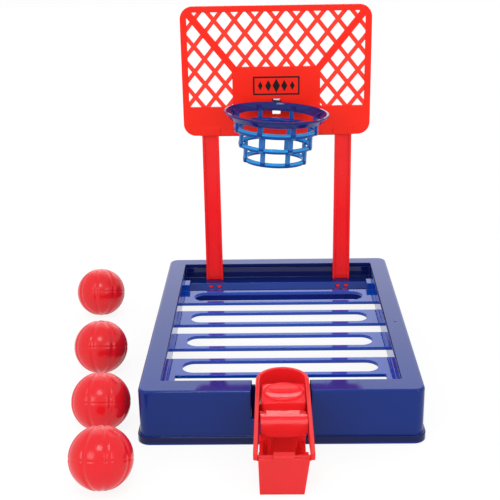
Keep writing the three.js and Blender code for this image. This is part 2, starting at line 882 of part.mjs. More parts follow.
// The hollow in the lever's underside.
function leverHollow() {
  const half = webHalfWidth - leverWall;
  const dishUnder = dishPlateBackTop - dishDepth - leverWall;
  const profile = outline([
    [-padFrontToe + leverWall, padBottom - overrun],
    [dishPlateBack - leverWall, webBottom - overrun],
    [dishPlateBack - leverWall, dishUnder],
    [-dishPlateFront + leverWall, dishUnder],
    [-dishPlateFront + leverWall, webTop - leverWall],
    [-webFront, webTop - leverWall],
    [-padBack - leverWall, padTop - leverWall],
    [-padFront + leverWall, padTop - leverWall],
  ]);
  return runAlongX(profile, -half, half);
}

function launcherLever() {
  let lever = leverBody().subtract(leverHollow()).subtract(dishCutter());
  const wall = housingHalfWidth(-pivotForward) - housingWall;
  const end = wall + housingWall - trunnionEndGap;
  const place = [-pivotForward, pivotHeight];
  const root = webHalfWidth - leverWall;
  for (const side of [-1, 1]) {
    const span = (a, b) => (side > 0 ? [a, b] : [-b, -a]);
    lever = join([
      lever,
      cylinderAlongX(trunnionRadius, ...span(root, end), ...place),
      cylinderAlongX(trunnionBossRadius, ...span(root, wall - fit), ...place),
    ]);
  }
  const ribHalf = restRibWidth / 2;
  const rib = block(
    -webHalfWidth + leverWall / 2, webHalfWidth - leverWall / 2, restRibPlace - ribHalf,
    restRibPlace + ribHalf, saddleTop + leverRestGap, webBottom + leverWall,
  );
  return lever.add(rib);
}

// Half of a ball: a shell from its flat rim to its pole.
function ballHalf(side) {
  const inner = ballRadius - ballWall;
  const points = [];
  for (let i = 0; i <= ballArcSteps; i++) {
    const angle = (i / ballArcSteps) * (Math.PI / 2);
    points.push([ballRadius * Math.cos(angle), ballRadius * Math.sin(angle)]);
  }
  for (let i = ballArcSteps; i >= 0; i--) {
    const angle = (i / ballArcSteps) * (Math.PI / 2);
    points.push([inner * Math.cos(angle), inner * Math.sin(angle)]);
  }
  points.push(points[0]);
  points[ballArcSteps][0] = 0;
  points[ballArcSteps + 1][0] = 0;
  const half = turned(points, ballSides);
  return side > 0 ? half : half.rotate([180, 0, 0]);
}

function balls() {
  const made = new THREE.Group();
  ballPlaceShares.forEach((share, i) => {
    const y = baseDepth * share;
    const x = -halfWidth - ballClearance - ballRadius - ballRowLeanShare * y;
    for (const [side, word] of [[-1, "lower"], [1, "upper"]]) {
      const half = piece(`ball_${i + 1}_${word}_half`, ballHalf(side), ballRed);
      half.position.set(x, y, ballRadius);
      made.add(half);
    }
  });
  return made;
}

const game = new THREE.Group();
game.add(piece("base_frame", baseFrame(), navy));
game.add(piece("slatted_tray", slattedTray(), navy));
for (const [side, word] of [[-1, "left"], [1, "right"]]) {
  const upright = piece(`${word}_post`, post(), red);
  upright.position.x = side * postX;
  game.add(upright);
}
game.add(piece("backboard", backboard(), orangeRed));
const hoopPiece = piece("hoop", hoop(), navy);
hoopPiece.position.set(0, hoopCentreY, hoopTop);
hoopPiece.rotation.set(
  THREE.MathUtils.degToRad(-hoopTiltDegrees), THREE.MathUtils.degToRad(hoopRollDegrees), 0,
);
game.add(hoopPiece);
for (const [name, made] of [
  ["launcher_housing", launcherHousing()],
  ["launcher_foot", launcherFoot()],
  ["launcher_lever", launcherLever()],
]) {
  const moulding = piece(name, made, red);
  moulding.position.x = launcherShift;
  game.add(moulding);
}
game.add(balls());

export default game;
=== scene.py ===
"""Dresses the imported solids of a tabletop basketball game.

Every moulding is modelled in millimetres in the solids' own frame, brought to metres when it is
finished, and rides on the body that carries its solid. X is to the right, Y runs from the player
to the backboard and Z is up.
"""

import logging
import math
from dataclasses import dataclass, replace
from enum import Enum
from typing import Any, Callable, Iterable, Optional, Sequence, Union

import bmesh
import bpy
from mathutils import Euler, Matrix, Vector

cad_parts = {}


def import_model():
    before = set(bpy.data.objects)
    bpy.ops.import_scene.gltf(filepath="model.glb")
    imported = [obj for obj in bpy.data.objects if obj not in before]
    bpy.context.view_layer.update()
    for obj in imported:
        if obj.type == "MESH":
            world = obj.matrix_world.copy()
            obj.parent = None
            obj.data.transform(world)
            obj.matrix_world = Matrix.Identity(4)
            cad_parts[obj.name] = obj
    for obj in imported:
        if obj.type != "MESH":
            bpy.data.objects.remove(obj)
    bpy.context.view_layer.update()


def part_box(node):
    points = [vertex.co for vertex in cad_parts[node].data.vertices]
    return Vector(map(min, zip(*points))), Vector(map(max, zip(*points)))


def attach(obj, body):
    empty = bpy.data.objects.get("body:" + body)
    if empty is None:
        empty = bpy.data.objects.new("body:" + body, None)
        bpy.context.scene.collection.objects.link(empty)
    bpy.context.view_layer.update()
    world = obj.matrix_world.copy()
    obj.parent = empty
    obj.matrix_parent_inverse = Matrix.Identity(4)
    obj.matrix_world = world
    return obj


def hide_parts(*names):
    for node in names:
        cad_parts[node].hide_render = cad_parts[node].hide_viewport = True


Pair = tuple[float, float]
Triple = tuple[float, float, float]
Span = Union[float, Pair]  # two ends, or half of what lies about the middle
Test = Callable[[Vector], bool]

METRE = 0.001  # one millimetre in metres
FIT = 0.3  # clearance between neighbouring mouldings
OVERRUN = 3.0  # how far a cutter passes the face that it cuts
EMBED = 0.6  # how far a rib runs into the wall that it grows from
HAIR = 1e-4  # what counts as the same place
SIDES = (-1, 1)
NEAR = 0.1  # how far a face may lie from where it is looked for
SLACK = 0.005  # what a round end keeps from a full half circle
UP, BACK = (0.0, 0.0, 1.0), (0.0, 1.0, 0.0)
MIX_ENDS, MIX_RESULT = (6, 7), 2  # the colour sockets of a Mix node

log = logging.getLogger("game")


class Axis(Enum):
    """A direction of the frame, by its place in a vector."""

    X = 0
    Y = 1
    Z = 2


class Operation(Enum):
    """What one solid does to another."""

    CUT = "DIFFERENCE"
    JOIN = "UNION"
    KEEP = "INTERSECT"


class Body(Enum):
    """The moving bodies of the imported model, apart from the balls."""

    GAME = "game"
    LEVER = "lever"


def srgb(*screen: int) -> Triple:
    """Returns the linear light of a screen colour of 0 to 255."""
    shares = (channel / 255 for channel in screen)
    return tuple(s / 12.92 if s <= 0.04045 else ((s + 0.055) / 1.055) ** 2.4 for s in shares)


def upright(normal: Vector) -> bool:
    """Tells whether a normal is level, so that its face is upright."""
    return abs(normal.z) < NEAR


def around(middle: float, width: float) -> Pair:
    """Returns the two ends of a width about its middle."""
    return middle - width / 2, middle + width / 2


def within(x: Span, y: Pair, z: Pair) -> Test:
    """Makes a test for places in a box.

    Args:
        x: its left and right sides, or its half width.
        y: its front and back.
        z: its bottom and top.

    Returns:
        The test.
    """
    spans = (x if isinstance(x, tuple) else (-x, x), y, z)
    return lambda place: all(low < c < high for c, (low, high) in zip(place, spans))


class Wire:
    """A shader socket that adds Math nodes when it stands in an expression."""

    def __init__(self, graph: "Graph", socket: bpy.types.NodeSocket) -> None:
        """Keeps the socket and the graph that new nodes go into."""
        self.graph, self.socket = graph, socket

    def _math(self, operation: str, other: Any) -> "Wire":
        """Adds one Math node and returns its result."""
        return self.graph.node("Math", {0: self, 1: other}, operation=operation)

    def __add__(self, other: Any) -> "Wire":
        """Returns this plus other."""
        return self._math("ADD", other)

    __radd__ = __add__

    def __sub__(self, other: Any) -> "Wire":
        """Returns this minus other."""
        return self._math("SUBTRACT", other)

    def __mul__(self, other: Any) -> "Wire":
        """Returns this times other."""
        return self._math("MULTIPLY", other)


class Graph:
    """The node tree of one material or world."""

    def __init__(self, owner: Union[bpy.types.Material, bpy.types.World]) -> None:
        """Empties the owner's tree.

        Args:
            owner: the material or world.
        """
        owner.use_nodes = True
        self.tree = owner.node_tree
        self.tree.nodes.clear()

    def node(
        self, kind: str, inputs: Optional[dict[Union[int, str], Any]] = None,
        output: Union[int, str] = 0, **settings: Any,
    ) -> Wire:
        """Adds a node, sets it up and feeds its sockets.

        Args:
            kind: the node's type, without its first word.
            inputs: the value or wire of each socket, by name or place.
            output: the socket to return.
            settings: properties to set first.

        Returns:
            The chosen output as a wire, or the first input where there is none.
        """
        made = self.tree.nodes.new("ShaderNode" + kind)
        for name, value in settings.items():
            setattr(made, name, value)
        for key, value in (inputs or {}).items():
            if isinstance(value, Wire):
                self.tree.links.new(value.socket, made.inputs[key])
            else:
                made.inputs[key].default_value = value
        return Wire(self, made.outputs[output] if len(made.outputs) else made.inputs[0])

    def mix(self, mask: Wire, *colours: Union[Triple, Wire]) -> Wire:
        """Mixes two colours by a mask and returns the colour."""
        ends = dict(zip(MIX_ENDS, (c if isinstance(c, Wire) else (*c, 1.0) for c in colours)))
        return self.node("Mix", {0: mask, **ends}, MIX_RESULT, data_type="RGBA")

    def noise(self, place: Wire, scale: float, detail: float = 2.0) -> Wire:
        """Returns a noise of 0 to 1."""
        return self.node("TexNoise", {"Vector": place, "Scale": scale, "Detail": detail})


@dataclass(frozen=True)
class Band:
    """A stretch of a moulding that shows another shade.

    Its place is measured in millimetres along a direction, so it can follow a tilted part.
    The mouldings here use bands for painted light and shade.
    """

    start: float
    end: float
    colour: Triple
    across: Triple = UP
    blend: float = 0.15

    def mask(self, graph: Graph, place: Wire) -> Wire:
        """Makes a mask that is 1 inside the band.

        Args:
            graph: the material's graph.
            place: the object coordinates.

        Returns:
            The mask.
        """
        dot = {"operation": "DOT_PRODUCT"}
        height = graph.node("VectorMath", {0: place, 1: self.across}, "Value", **dot)
        passed = []
        for border in (self.start, self.end):
            low, high = (border - self.blend) * METRE, (border + self.blend) * METRE
            passed.append(
                graph.node("MapRange", {"Value": height, "From Min": low, "From Max": high},
                           interpolation_type="SMOOTHSTEP")
            )
        return passed[0] - passed[1]


@dataclass(frozen=True)
class MouldedPlastic:
    """A glossy injection-moulded plastic.

    The mould leaves a fine orange peel, a slow waviness that bends reflections, pale flow marks
    in the colour and a few hairline scuffs in the gloss.
    """

    name: str
    colour: Triple
    slot: str
    roughness: float = 0.06
    specular: float = 0.3
    flow: float = 0.10
    flow_scale: float = 34.0
    flow_stretch: Triple = (1.0, 0.16, 1.0)
    wave_depth: float = 0.00004
    wave_scale: float = 55.0
    peel_depth: float = 0.000004
    peel_scale: float = 1400.0
    scuff: float = 0.06
    scuff_turn: Triple = (0.3, 0.5, 0.7)
    scuff_scale: Triple = (420.0, 26.0, 420.0)
    scuff_edge: Pair = (0.66, 0.72)
    glow: float = 0.0
    glow_reach: Triple = (0.004, 0.002, 0.002)
    glow_scale: float = 0.5
    bands: tuple[Band, ...] = ()

    def material(self) -> bpy.types.Material:
        """Makes the material.

        Returns:
            The new material.
        """
        made = bpy.data.materials.new(self.name)
        graph = Graph(made)
        place = graph.node("TexCoord", output="Object")
        flow = graph.noise(place, self.flow_scale, 3.0)
        streak = graph.node("Mapping", {"Vector": place, "Scale": self.flow_stretch})
        shade = (flow + graph.noise(streak, self.flow_scale * 2.2)) * 0.5
        colour = graph.mix(shade, *self._shades(self.colour))
        for band in self.bands:
            other = graph.mix(shade, *self._shades(band.colour))
            colour = graph.mix(band.mask(graph, place), colour, other)
        scuffs = self._scuffs(graph, place) * self.scuff
        bump: dict[str, Any] = {}
        for scale, detail, depth in (
            (self.wave_scale, 1.0, self.wave_depth), (self.peel_scale, 2.0, self.peel_depth)
        ):
            bump |= {"Distance": depth, "Height": graph.noise(place, scale, detail)}
            bump["Normal"] = graph.node("Bump", bump)
        shader = graph.node("BsdfPrincipled", {
            "Base Color": colour,
            "Roughness": self.roughness + (flow - 0.5) * (self.roughness * 0.5) + scuffs,
            "Specular IOR Level": self.specular,
            "Normal": bump["Normal"],
            "Subsurface Weight": self.glow,
            "Subsurface Radius": self.glow_reach,
            "Subsurface Scale": self.glow_scale,
        })
        graph.node("OutputMaterial", {"Surface": shader})
        return made

    def _shades(self, colour: Triple) -> list[Triple]:
        """Returns the deep and the pale shade of a colour's flow marks."""
        return [tuple(min(1.0, c * (1 + way * self.flow)) for c in colour) for way in SIDES]

    def _scuffs(self, graph: Graph, place: Wire) -> Wire:
        """Makes a mask of sparse hairline scuffs.

        Args:
            graph: the material's graph.
            place: the object coordinates.

        Returns:
            The mask.
        """
        turned = {"Vector": place, "Rotation": self.scuff_turn, "Scale": self.scuff_scale}
        lines = graph.noise(graph.node("Mapping", turned), 1.0, 1.0)
        ramp = graph.node("ValToRGB", {"Fac": lines})
        for element, edge in zip(ramp.socket.node.color_ramp.elements, self.scuff_edge):
            element.position = edge
        return ramp


@dataclass(frozen=True)
class PadPrint:
    """A thin matt ink with a slightly uneven film."""

    name: str
    colour: Triple
    slot: str
    grain: float = 900.0
    uneven: float = 0.004
    relief: float = 0.000005
    roughness: float = 0.35
    specular: float = 0.15

    def material(self) -> bpy.types.Material:
        """Makes the material.

        Returns:
            The new material.
        """
        made = bpy.data.materials.new(self.name)
        graph = Graph(made)
        film = graph.noise(graph.node("TexCoord", output="Object"), self.grain)
        pale = tuple(c + self.uneven for c in self.colour)
        shader = graph.node("BsdfPrincipled", {
            "Base Color": graph.mix(film, self.colour, pale),
            "Roughness": film * 0.2 + self.roughness,
            "Specular IOR Level": self.specular,
            "Normal": graph.node("Bump", {"Distance": self.relief, "Height": film}),
        })
        graph.node("OutputMaterial", {"Surface": shader})
        return made


class Solid:
    """A closed mesh in millimetres that bmesh operators shape.

    The methods that change the mesh return the solid itself.
    """

    def __init__(self) -> None:
        """Starts with an empty mesh."""
        self.bm = bmesh.new()

    @classmethod
    def made(cls, create: Callable[..., Any], **settings: Any) -> "Solid":
        """Makes what one of bmesh's create operators makes.

        Args:
            create: the operator.
            settings: what the operator is given.

        Returns:
            The solid.
        """
        solid = cls()
        create(solid.bm, **settings)
        return solid

    @classmethod
    def block(cls, x: Span, y: Pair, z: Pair) -> "Solid":
        """Makes a block.

        Args:
            x: its left and right sides, or its half width.
            y: its front and back.
            z: its bottom and top.

        Returns:
            The block.
        """
        spans = (x if isinstance(x, tuple) else (-x, x), y, z)
        matrix = Matrix.Translation([(a + b) / 2 for a, b in spans])
        matrix @= Matrix.Diagonal((*(b - a for a, b in spans), 1.0))
        return cls.made(bmesh.ops.create_cube, size=1.0, matrix=matrix)

    @classmethod
    def rounded(
        cls, x: Span, y: Pair, z: Pair, radius: float, segments: int = 8, axis: Axis = Axis.Z
    ) -> "Solid":
        """Returns a block whose edges along one axis are rounded."""
        return cls.block(x, y, z).bevel(radius, segments, axis)

    @classmethod
    def prism(cls, points: Sequence[Pair], axis: Axis, span: Span) -> "Solid":
        """Makes a prism from an outline.

        Args:
            points: the outline, in the two other directions in X, Y, Z order.
            axis: the direction that the outline is extruded in.
            span: where the prism starts and ends, or half its length.

        Returns:
            The prism.
        """
        made = cls()
        start, end = span if isinstance(span, tuple) else (-span, span)
        i = axis.value
        places = [(*point[:i], start, *point[i:]) for point in points]
        face = made.bm.faces.new([made.bm.verts.new(place) for place in places])
        return made.extrude([face], [end - start if n == i else 0.0 for n in range(3)]).recalc()

    @classmethod
    def turned(cls, profile: Sequence[Pair], steps: int, closed: bool = True) -> "Solid":
        """Spins a profile round the Z axis.

        Args:
            profile: radius and height of each point.
            steps: the faces round the axis.
            closed: whether the profile's end meets its start.

        Returns:
            The turned solid.
        """
        made = cls()
        verts = [made.bm.verts.new((radius, 0.0, height)) for radius, height in profile]
        links = zip(verts, verts[1:] + (verts[:1] if closed else []))
        edges = [made.bm.edges.new(link) for link in links]
        bmesh.ops.spin(
            made.bm, geom=verts + edges, cent=(0, 0, 0), axis=UP, angle=2 * math.pi, steps=steps,
            use_merge=True,
        )
        bmesh.ops.remove_doubles(made.bm, verts=made.bm.verts, dist=HAIR)
        return made.recalc()

    def recalc(self) -> "Solid":
        """Turns all normals out."""
        bmesh.ops.recalc_face_normals(self.bm, faces=self.bm.faces)
        return self

    def extrude(self, faces: list[bmesh.types.BMFace], step: Sequence[float]) -> "Solid":
        """Extrudes faces by a step.

        Args:
            faces: the faces.
            step: how far and in which direction they go.

        Returns:
            This solid.
        """
        moved = bmesh.ops.extrude_face_region(self.bm, geom=faces)
        verts = [v for v in moved["geom"] if isinstance(v, bmesh.types.BMVert)]
        bmesh.ops.translate(self.bm, verts=verts, vec=step)
        return self

    def bevel(
        self, width: float, segments: int, axis: Optional[Axis] = None, test: Optional[Test] = None
    ) -> "Solid":
        """Rounds edges.

        Args:
            width: the rounding's radius on a square edge.
            segments: the faces across it.
            axis: the direction of the edges to round, if only one.
            test: what both ends of an edge have to pass, if anything.

        Returns:
            This solid.
        """
        edges = []
        for edge in self.bm.edges:
            ends = [v.co for v in edge.verts]
            way = ends[1] - ends[0]
            along = axis is None or abs(way[axis.value]) > 0.999 * way.length
            if along and (test is None or all(map(test, ends))):
                edges.append(edge)
        bmesh.ops.bevel(
            self.bm, geom=edges, offset=width, offset_type="OFFSET", segments=segments,
            profile=0.5, affect="EDGES", clamp_overlap=True, material=-1,
        )
        return self

    def slice(self, place: Sequence[float], out: Sequence[float]) -> "Solid":
        """Cuts off what lies beyond a plane.

        Args:
            place: a point of the plane.
            out: its normal, towards what goes.

        Returns:
            This solid.
        """
        everything = [*self.bm.verts, *self.bm.edges, *self.bm.faces]
        bmesh.ops.bisect_plane(
            self.bm, geom=everything, plane_co=place, plane_no=out, clear_outer=True
        )
        return self

    def move(self, x: float = 0.0, y: float = 0.0, z: float = 0.0) -> "Solid":
        """Moves the solid."""
        bmesh.ops.translate(self.bm, verts=self.bm.verts, vec=(x, y, z))
        return self

    def turn(self, matrix: Matrix) -> "Solid":
        """Transforms the solid by a matrix."""
        bmesh.ops.transform(self.bm, matrix=matrix, verts=self.bm.verts)
        return self

    def mirrored(self) -> "Solid":
        """Adds the mirror image across the middle plane.

        Returns:
            This solid.
        """
        everything = [*self.bm.verts, *self.bm.edges, *self.bm.faces]
        bmesh.ops.mirror(self.bm, geom=everything, merge_dist=-1.0, axis="X")
        return self.recalc()

    def add(self, *others: "Solid") -> "Solid":
        """Adds other solids' meshes as they are.

        Args:
            others: the other solids.

        Returns:
            This solid.
        """
        for other in others:
            mesh = bpy.data.meshes.new("part")
            other.bm.to_mesh(mesh)
            self.bm.from_mesh(mesh)
            bpy.data.meshes.remove(mesh)
        return self

    def cut(self, *others: "Solid") -> "Solid":
        """Cuts others out of this solid."""
        return self._combine(Operation.CUT, others)

    def join(self, *others: "Solid") -> "Solid":
        """Joins others to this solid."""
        return self._combine(Operation.JOIN, others)

    def keep(self, other: "Solid") -> "Solid":
        """Keeps what this solid shares with another."""
        return self._combine(Operation.KEEP, [other])

    def _combine(self, operation: Operation, others: Iterable["Solid"]) -> "Solid":
        """Applies one boolean for each other solid.

        Args:
            operation: what the others do to this solid.
            others: the other solids.

        Returns:
            This solid.
        """
        items = []
        for solid in (self, *others):
            mesh = bpy.data.meshes.new("part")
            solid.bm.to_mesh(mesh)
            items.append(bpy.data.objects.new("part", mesh))
            bpy.context.scene.collection.objects.link(items[-1])
        for tool in items[1:]:
            modifier = items[0].modifiers.new("combine", "BOOLEAN")
            modifier.operation = operation.value
            modifier.solver = "EXACT"
            modifier.object = tool
        bpy.context.view_layer.update()
        evaluated = items[0].evaluated_get(bpy.context.evaluated_depsgraph_get())
        self.bm.free()
        self.bm = bmesh.new()
        self.bm.from_mesh(evaluated.to_mesh())
        evaluated.to_mesh_clear()
        for item in items:
            mesh = item.data
            bpy.data.objects.remove(item)
            bpy.data.meshes.remove(mesh)
        return self

    def clean(self, least: float = 0.01) -> "Solid":
        """Merges doubles and drops slivers.

        Args:
            least: the shortest edge that stays.

        Returns:
            This solid.
        """
        bmesh.ops.remove_doubles(self.bm, verts=self.bm.verts, dist=least)
        bmesh.ops.dissolve_degenerate(self.bm, dist=least, edges=self.bm.edges)
        return self.recalc()


Finish = Union[MouldedPlastic, PadPrint]
Accent = tuple[Finish, Callable[[Vector, Vector], bool]]  # a finish, and a test that picks faces


@dataclass
class Workshop:
    """Turns solids into finished objects and keeps one material for each finish."""

    edge_angle: float = 38.0
    weight: int = 60

    def __post_init__(self) -> None:
        """Starts with no materials."""
        self.materials: dict[str, bpy.types.Material] = {}

    def finish(
        self, name: str, solid: Solid, finish: Finish, node: str = "", edge: float = 0.3,
        segments: int = 3, body: str = Body.GAME.value, accents: Sequence[Accent] = (),
    ) -> None:
        """Makes a piece's object in metres and hangs it on its body.

        Args:
            name: the piece's name.
            solid: its shape.
            finish: its finish. A print stays flat shaded.
            node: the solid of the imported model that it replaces, if any.
            edge: how far its sharp edges are rounded.
            segments: the faces across a rounding.
            body: the body that carries it.
            accents: other finishes, each for the faces whose middle and normal pass its test.
        """
        for face in solid.bm.faces:
            face.smooth = isinstance(finish, MouldedPlastic)
            for i, (_, picks) in enumerate(accents, 1):
                if picks(face.calc_center_median(), face.normal):
                    face.material_index = i
        bmesh.ops.scale(solid.bm, vec=(METRE, METRE, METRE), verts=solid.bm.verts)
        mesh = bpy.data.meshes.new(name)
        solid.bm.to_mesh(mesh)
        solid.bm.free()
        made = bpy.data.objects.new(name, mesh)
        bpy.context.scene.collection.objects.link(made)
        for each in (finish, *(other for other, _ in accents)):
            if each.name not in self.materials:
                self.materials[each.name] = each.material()
            mesh.materials.append(self.materials[each.name])
        if edge:
            self._soften(made, edge, segments)
        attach(made, body)
        if node:
            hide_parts(node)
        log.info("%s: %d faces on %s", name, len(mesh.polygons), body)

    def _soften(self, made: bpy.types.Object, edge: float, segments: int) -> None:
        """Rounds a piece's sharp edges as a mould does.

        Args:
            made: the piece's object.
            edge: how far the edges are rounded.
            segments: the faces across a rounding.
        """
        bevel = made.modifiers.new("edges", "BEVEL")
        bevel.width = edge * METRE
        bevel.segments = segments
        bevel.limit_method = "ANGLE"
        bevel.angle_limit = math.radians(self.edge_angle)
        bevel.use_clamp_overlap = False
        bevel.miter_outer = "MITER_ARC"
        weighted = made.modifiers.new("normals", "WEIGHTED_NORMAL")
        weighted.mode = "FACE_AREA"
        weighted.weight = self.weight


# Painted light and shade on the base's navy: the darker band on the lip is painted shade, the bluer
# band along the very bottom is painted bounce light, and the paler band over the top is painted
# light.
NAVY = MouldedPlastic(
    "navy_moulding", srgb(4, 36, 110), "navy_moulding", 0.05, 0.25, wave_depth=0.00002,
    bands=(Band(0.9, 4.55, srgb(2, 14, 70)), Band(-1.0, 0.7, srgb(0, 50, 150)),
           Band(30.6, 40.0, srgb(4, 42, 124))),
)
# Painted shade: a darker, matt navy for the narrow wall round the opening and for the notch's
# cheeks, which lie in shade.
PAINTED_SHADE_NAVY = MouldedPlastic("navy_painted_shade", srgb(6, 22, 84), "navy_moulding", 0.55, 0.1)
# Painted light: a paler, brighter navy for the inner sides of the outer walls, which lie in shade
# inside the shell.
PAINTED_LIGHT_CAVITY_NAVY = MouldedPlastic("navy_cavity_painted_light", srgb(20, 52, 170), "navy_moulding", 0.3, 0.1)
# Painted light and shade on the tray: its blue is brighter than the base's navy, as painted light
# for light through the thin slats, and its three bands across the crossbar are painted shade,
# darkest on the top and behind it, where the rim shades it.
TRAY_BLUE = MouldedPlastic(
    "tray_moulding", srgb(2, 62, 164), "navy_moulding", 0.05, 0.36, wave_depth=0.00002,
    bands=(Band(173.6, 174.7, srgb(0, 50, 140), BACK), Band(174.7, 184.7, srgb(2, 26, 94), BACK),
           Band(184.7, 190.0, srgb(6, 20, 82), BACK)),
)
# The hoop is one plastic in three shades; the rings' brighter azure is painted light that stands
# for light passing through the thin rings.
RIM_BLUE = MouldedPlastic("hoop_rim_moulding", srgb(16, 34, 104), "hoop_moulding", specular=0.22)
RIB_BLUE = MouldedPlastic("hoop_rib_moulding", srgb(24, 70, 148), "hoop_moulding", specular=0.2)
RING_BLUE = MouldedPlastic("hoop_ring_moulding", srgb(0, 64, 140), "hoop_moulding", specular=0.2)
RED = MouldedPlastic("red_moulding", srgb(212, 46, 48), "red_moulding", 0.12, 0.14, glow=0.4)
# Painted light: the brighter reds of the foot's hollow and the housing's inner sides stand in for
# light passing into the launcher's shaded insides.
PAINTED_LIGHT_HOLLOW_RED = MouldedPlastic("red_hollow_painted_light", srgb(255, 38, 42), "red_moulding", 0.3, 0.1, glow=0.6)
PAINTED_LIGHT_INNER_RED = replace(PAINTED_LIGHT_HOLLOW_RED, name="red_inner_side_painted_light", colour=srgb(232, 34, 38))
LEVER_RED = replace(
    RED, name="lever_moulding", colour=srgb(228, 40, 44), roughness=0.08, specular=0.28, glow=0.2
)
POST_RED = MouldedPlastic("post_moulding", srgb(238, 30, 32), "red_moulding", 0.22, 0.2)
BOARD_RED = MouldedPlastic("board_moulding", srgb(236, 36, 20), "board_moulding", 0.3, 0.14)
LATTICE_RED = replace(BOARD_RED, name="lattice_moulding", colour=srgb(244, 54, 38))
BALL_RED = MouldedPlastic("ball_shell", srgb(212, 20, 30), "ball_shell", 0.22, 0.34)
INK = PadPrint("panel_ink", srgb(20, 14, 16), "board_moulding")


@dataclass
class Base:
    """The open-bottomed shell that everything stands on."""

    width: float = 150.0
    depth: float = 195.5
    height: float = 31.0
    corner: float = 5.5
    fillet: float = 1.6
    wall: float = 2.2
    rim: float = 2.2
    side_rim: float = 11.2
    front_rim: float = 12.6
    rear_rim: float = 10.5
    opening_corner: float = 0.8
    lip_height: float = 4.6
    lip_proud: float = 1.4
    lip_fillet: float = 0.7
    notch_width: float = 31.6
    notch_sill: float = 14.5
    cheek: float = 2.0
    cheek_drop: float = 3.0
    cheek_skin: float = 0.05
    cheek_draw: float = 0.5
    hook: Triple = (1.6, 8.0, 1.6)
    hook_reach: float = 1.3
    hook_place_shares: Pair = (0.24, 0.76)
    fin: Pair = (7.0, 28.5)
    fin_inner: Pair = (-13.5, 15.1)
    sink_mark: tuple[float, ...] = (69.0, 85.1, 1.2, 3.0)  # place, radius and its ball's

    def __post_init__(self) -> None:
        """Works out half the opening's width and where it ends at the rear."""
        self.opening_half = self.width / 2 - self.side_rim
        self.opening_rear = self.depth - self.rear_rim

    def shell(self) -> Solid:
        """Models the shell with its lip, notch, sink mark and hooks.

        Returns:
            The shell.
        """
        half, wall, out, deep = self.width / 2, self.wall, self.lip_proud, self.depth
        high = self.height + OVERRUN
        shell = Solid.rounded(half, (0, deep), (1, self.height), self.corner)
        shell.bevel(self.fillet, 5, test=lambda p: abs(p.z - self.height) < HAIR)
        lip = Solid.rounded(
            half + out, (-out, deep + out), (0, self.lip_height), self.corner + out
        )
        lip.bevel(self.lip_fillet, 4, test=lambda p: abs(p.z - self.lip_height) < HAIR)
        cavity = Solid.rounded(
            half - wall, (wall, deep - wall), (-OVERRUN, self.height - self.rim),
            self.corner - wall,
        )
        opening = Solid.rounded(
            self.opening_half, (self.front_rim, self.opening_rear), (-OVERRUN, high),
            self.opening_corner, 3,
        )
        gap = Solid.block(
            self.notch_width / 2, (-OVERRUN, self.front_rim + OVERRUN), (self.notch_sill, high)
        )
        x, y, radius, ball = self.sink_mark
        mark = Solid.made(
            bmesh.ops.create_uvsphere, u_segments=48, v_segments=48, radius=ball,
            matrix=Matrix.Translation((x, y, self.height + math.sqrt(ball**2 - radius**2))),
        )
        return shell.join(lip).cut(cavity, opening, gap, mark).join(*self.hooks()).clean()

    def hooks(self) -> list[Solid]:
        """Models the snap hooks that hold the tray's skirt.

        Returns:
            One solid for each pair of hooks.
        """
        thick, wide, tall = self.hook
        skirt = self.opening_half + Tray.skirt
        inner, low = skirt + FIT, Tray.bottom - FIT - tall
        made = []
        for share in self.hook_place_shares:
            y = around(self.depth * share, wide)
            stem = Solid.block((inner, inner + thick), y, (low, self.height - self.rim + EMBED))
            toe = Solid.block((skirt - self.hook_reach, inner + thick), y, (low, low + tall))
            made.append(stem.join(toe).mirrored())
        return made

    def accents(self) -> list[Accent]:
        """Picks the narrow wall round the opening and the inner sides of the outer walls.

        Returns:
            The accents: painted shade on the narrow wall round the opening and painted light on the
            inner sides of the outer walls.
        """
        half, deep, under, wall = self.width / 2, self.depth, self.height - self.rim, self.wall
        everywhere, inset = (-math.inf, math.inf), wall + NEAR
        opening = within(self.opening_half + NEAR,
                         (self.front_rim - NEAR, self.opening_rear + NEAR), (under, math.inf))
        cavity = within(half - wall + NEAR, (wall - NEAR, deep - wall + NEAR), (-math.inf, under))
        core = within(half - inset - self.corner, (inset, deep - inset), everywhere)
        return [(PAINTED_SHADE_NAVY, lambda place, normal: upright(normal) and opening(place)),
                (PAINTED_LIGHT_CAVITY_NAVY, lambda place, normal: upright(normal) and cavity(place)
                 and not core(place))]

    def cheeks(self) -> Solid:
        """Models the notch's two side walls, which draw in towards the back, and their fins.

        Returns:
            The cheeks.
        """
        notch, back, top = self.notch_width / 2, self.front_rim, self.height
        outer, middle = notch + self.cheek, notch + self.cheek / 2
        cheek = Solid.prism(
            [(notch - self.cheek_skin, EMBED), (outer, EMBED), (outer, back),
             (notch - self.cheek_draw, back)],
            Axis.Z, (self.notch_sill, top - self.cheek_skin * 4),
        )
        root = Solid.block(
            (notch, outer), (self.wall - EMBED, back),
            (self.notch_sill - self.cheek_drop, top - self.rim + EMBED),
        )
        fin = (back - self.cheek_draw - Tray.skirt, back - FIT / 2)
        left, right = self.fin_inner
        return cheek.join(root).mirrored().join(
            Solid.block((-middle, left), fin, self.fin), Solid.block((right, middle), fin, self.fin)
        )

    def build(self, workshop: Workshop) -> None:
        """Finishes the shell and the cheeks."""
        workshop.finish("base_shell", self.shell(), NAVY, "base_frame", 0.35,
                        accents=self.accents())
        # The cheeks wear the darker navy as painted shade.
        workshop.finish("notch_cheeks", self.cheeks(), PAINTED_SHADE_NAVY, edge=0.2)


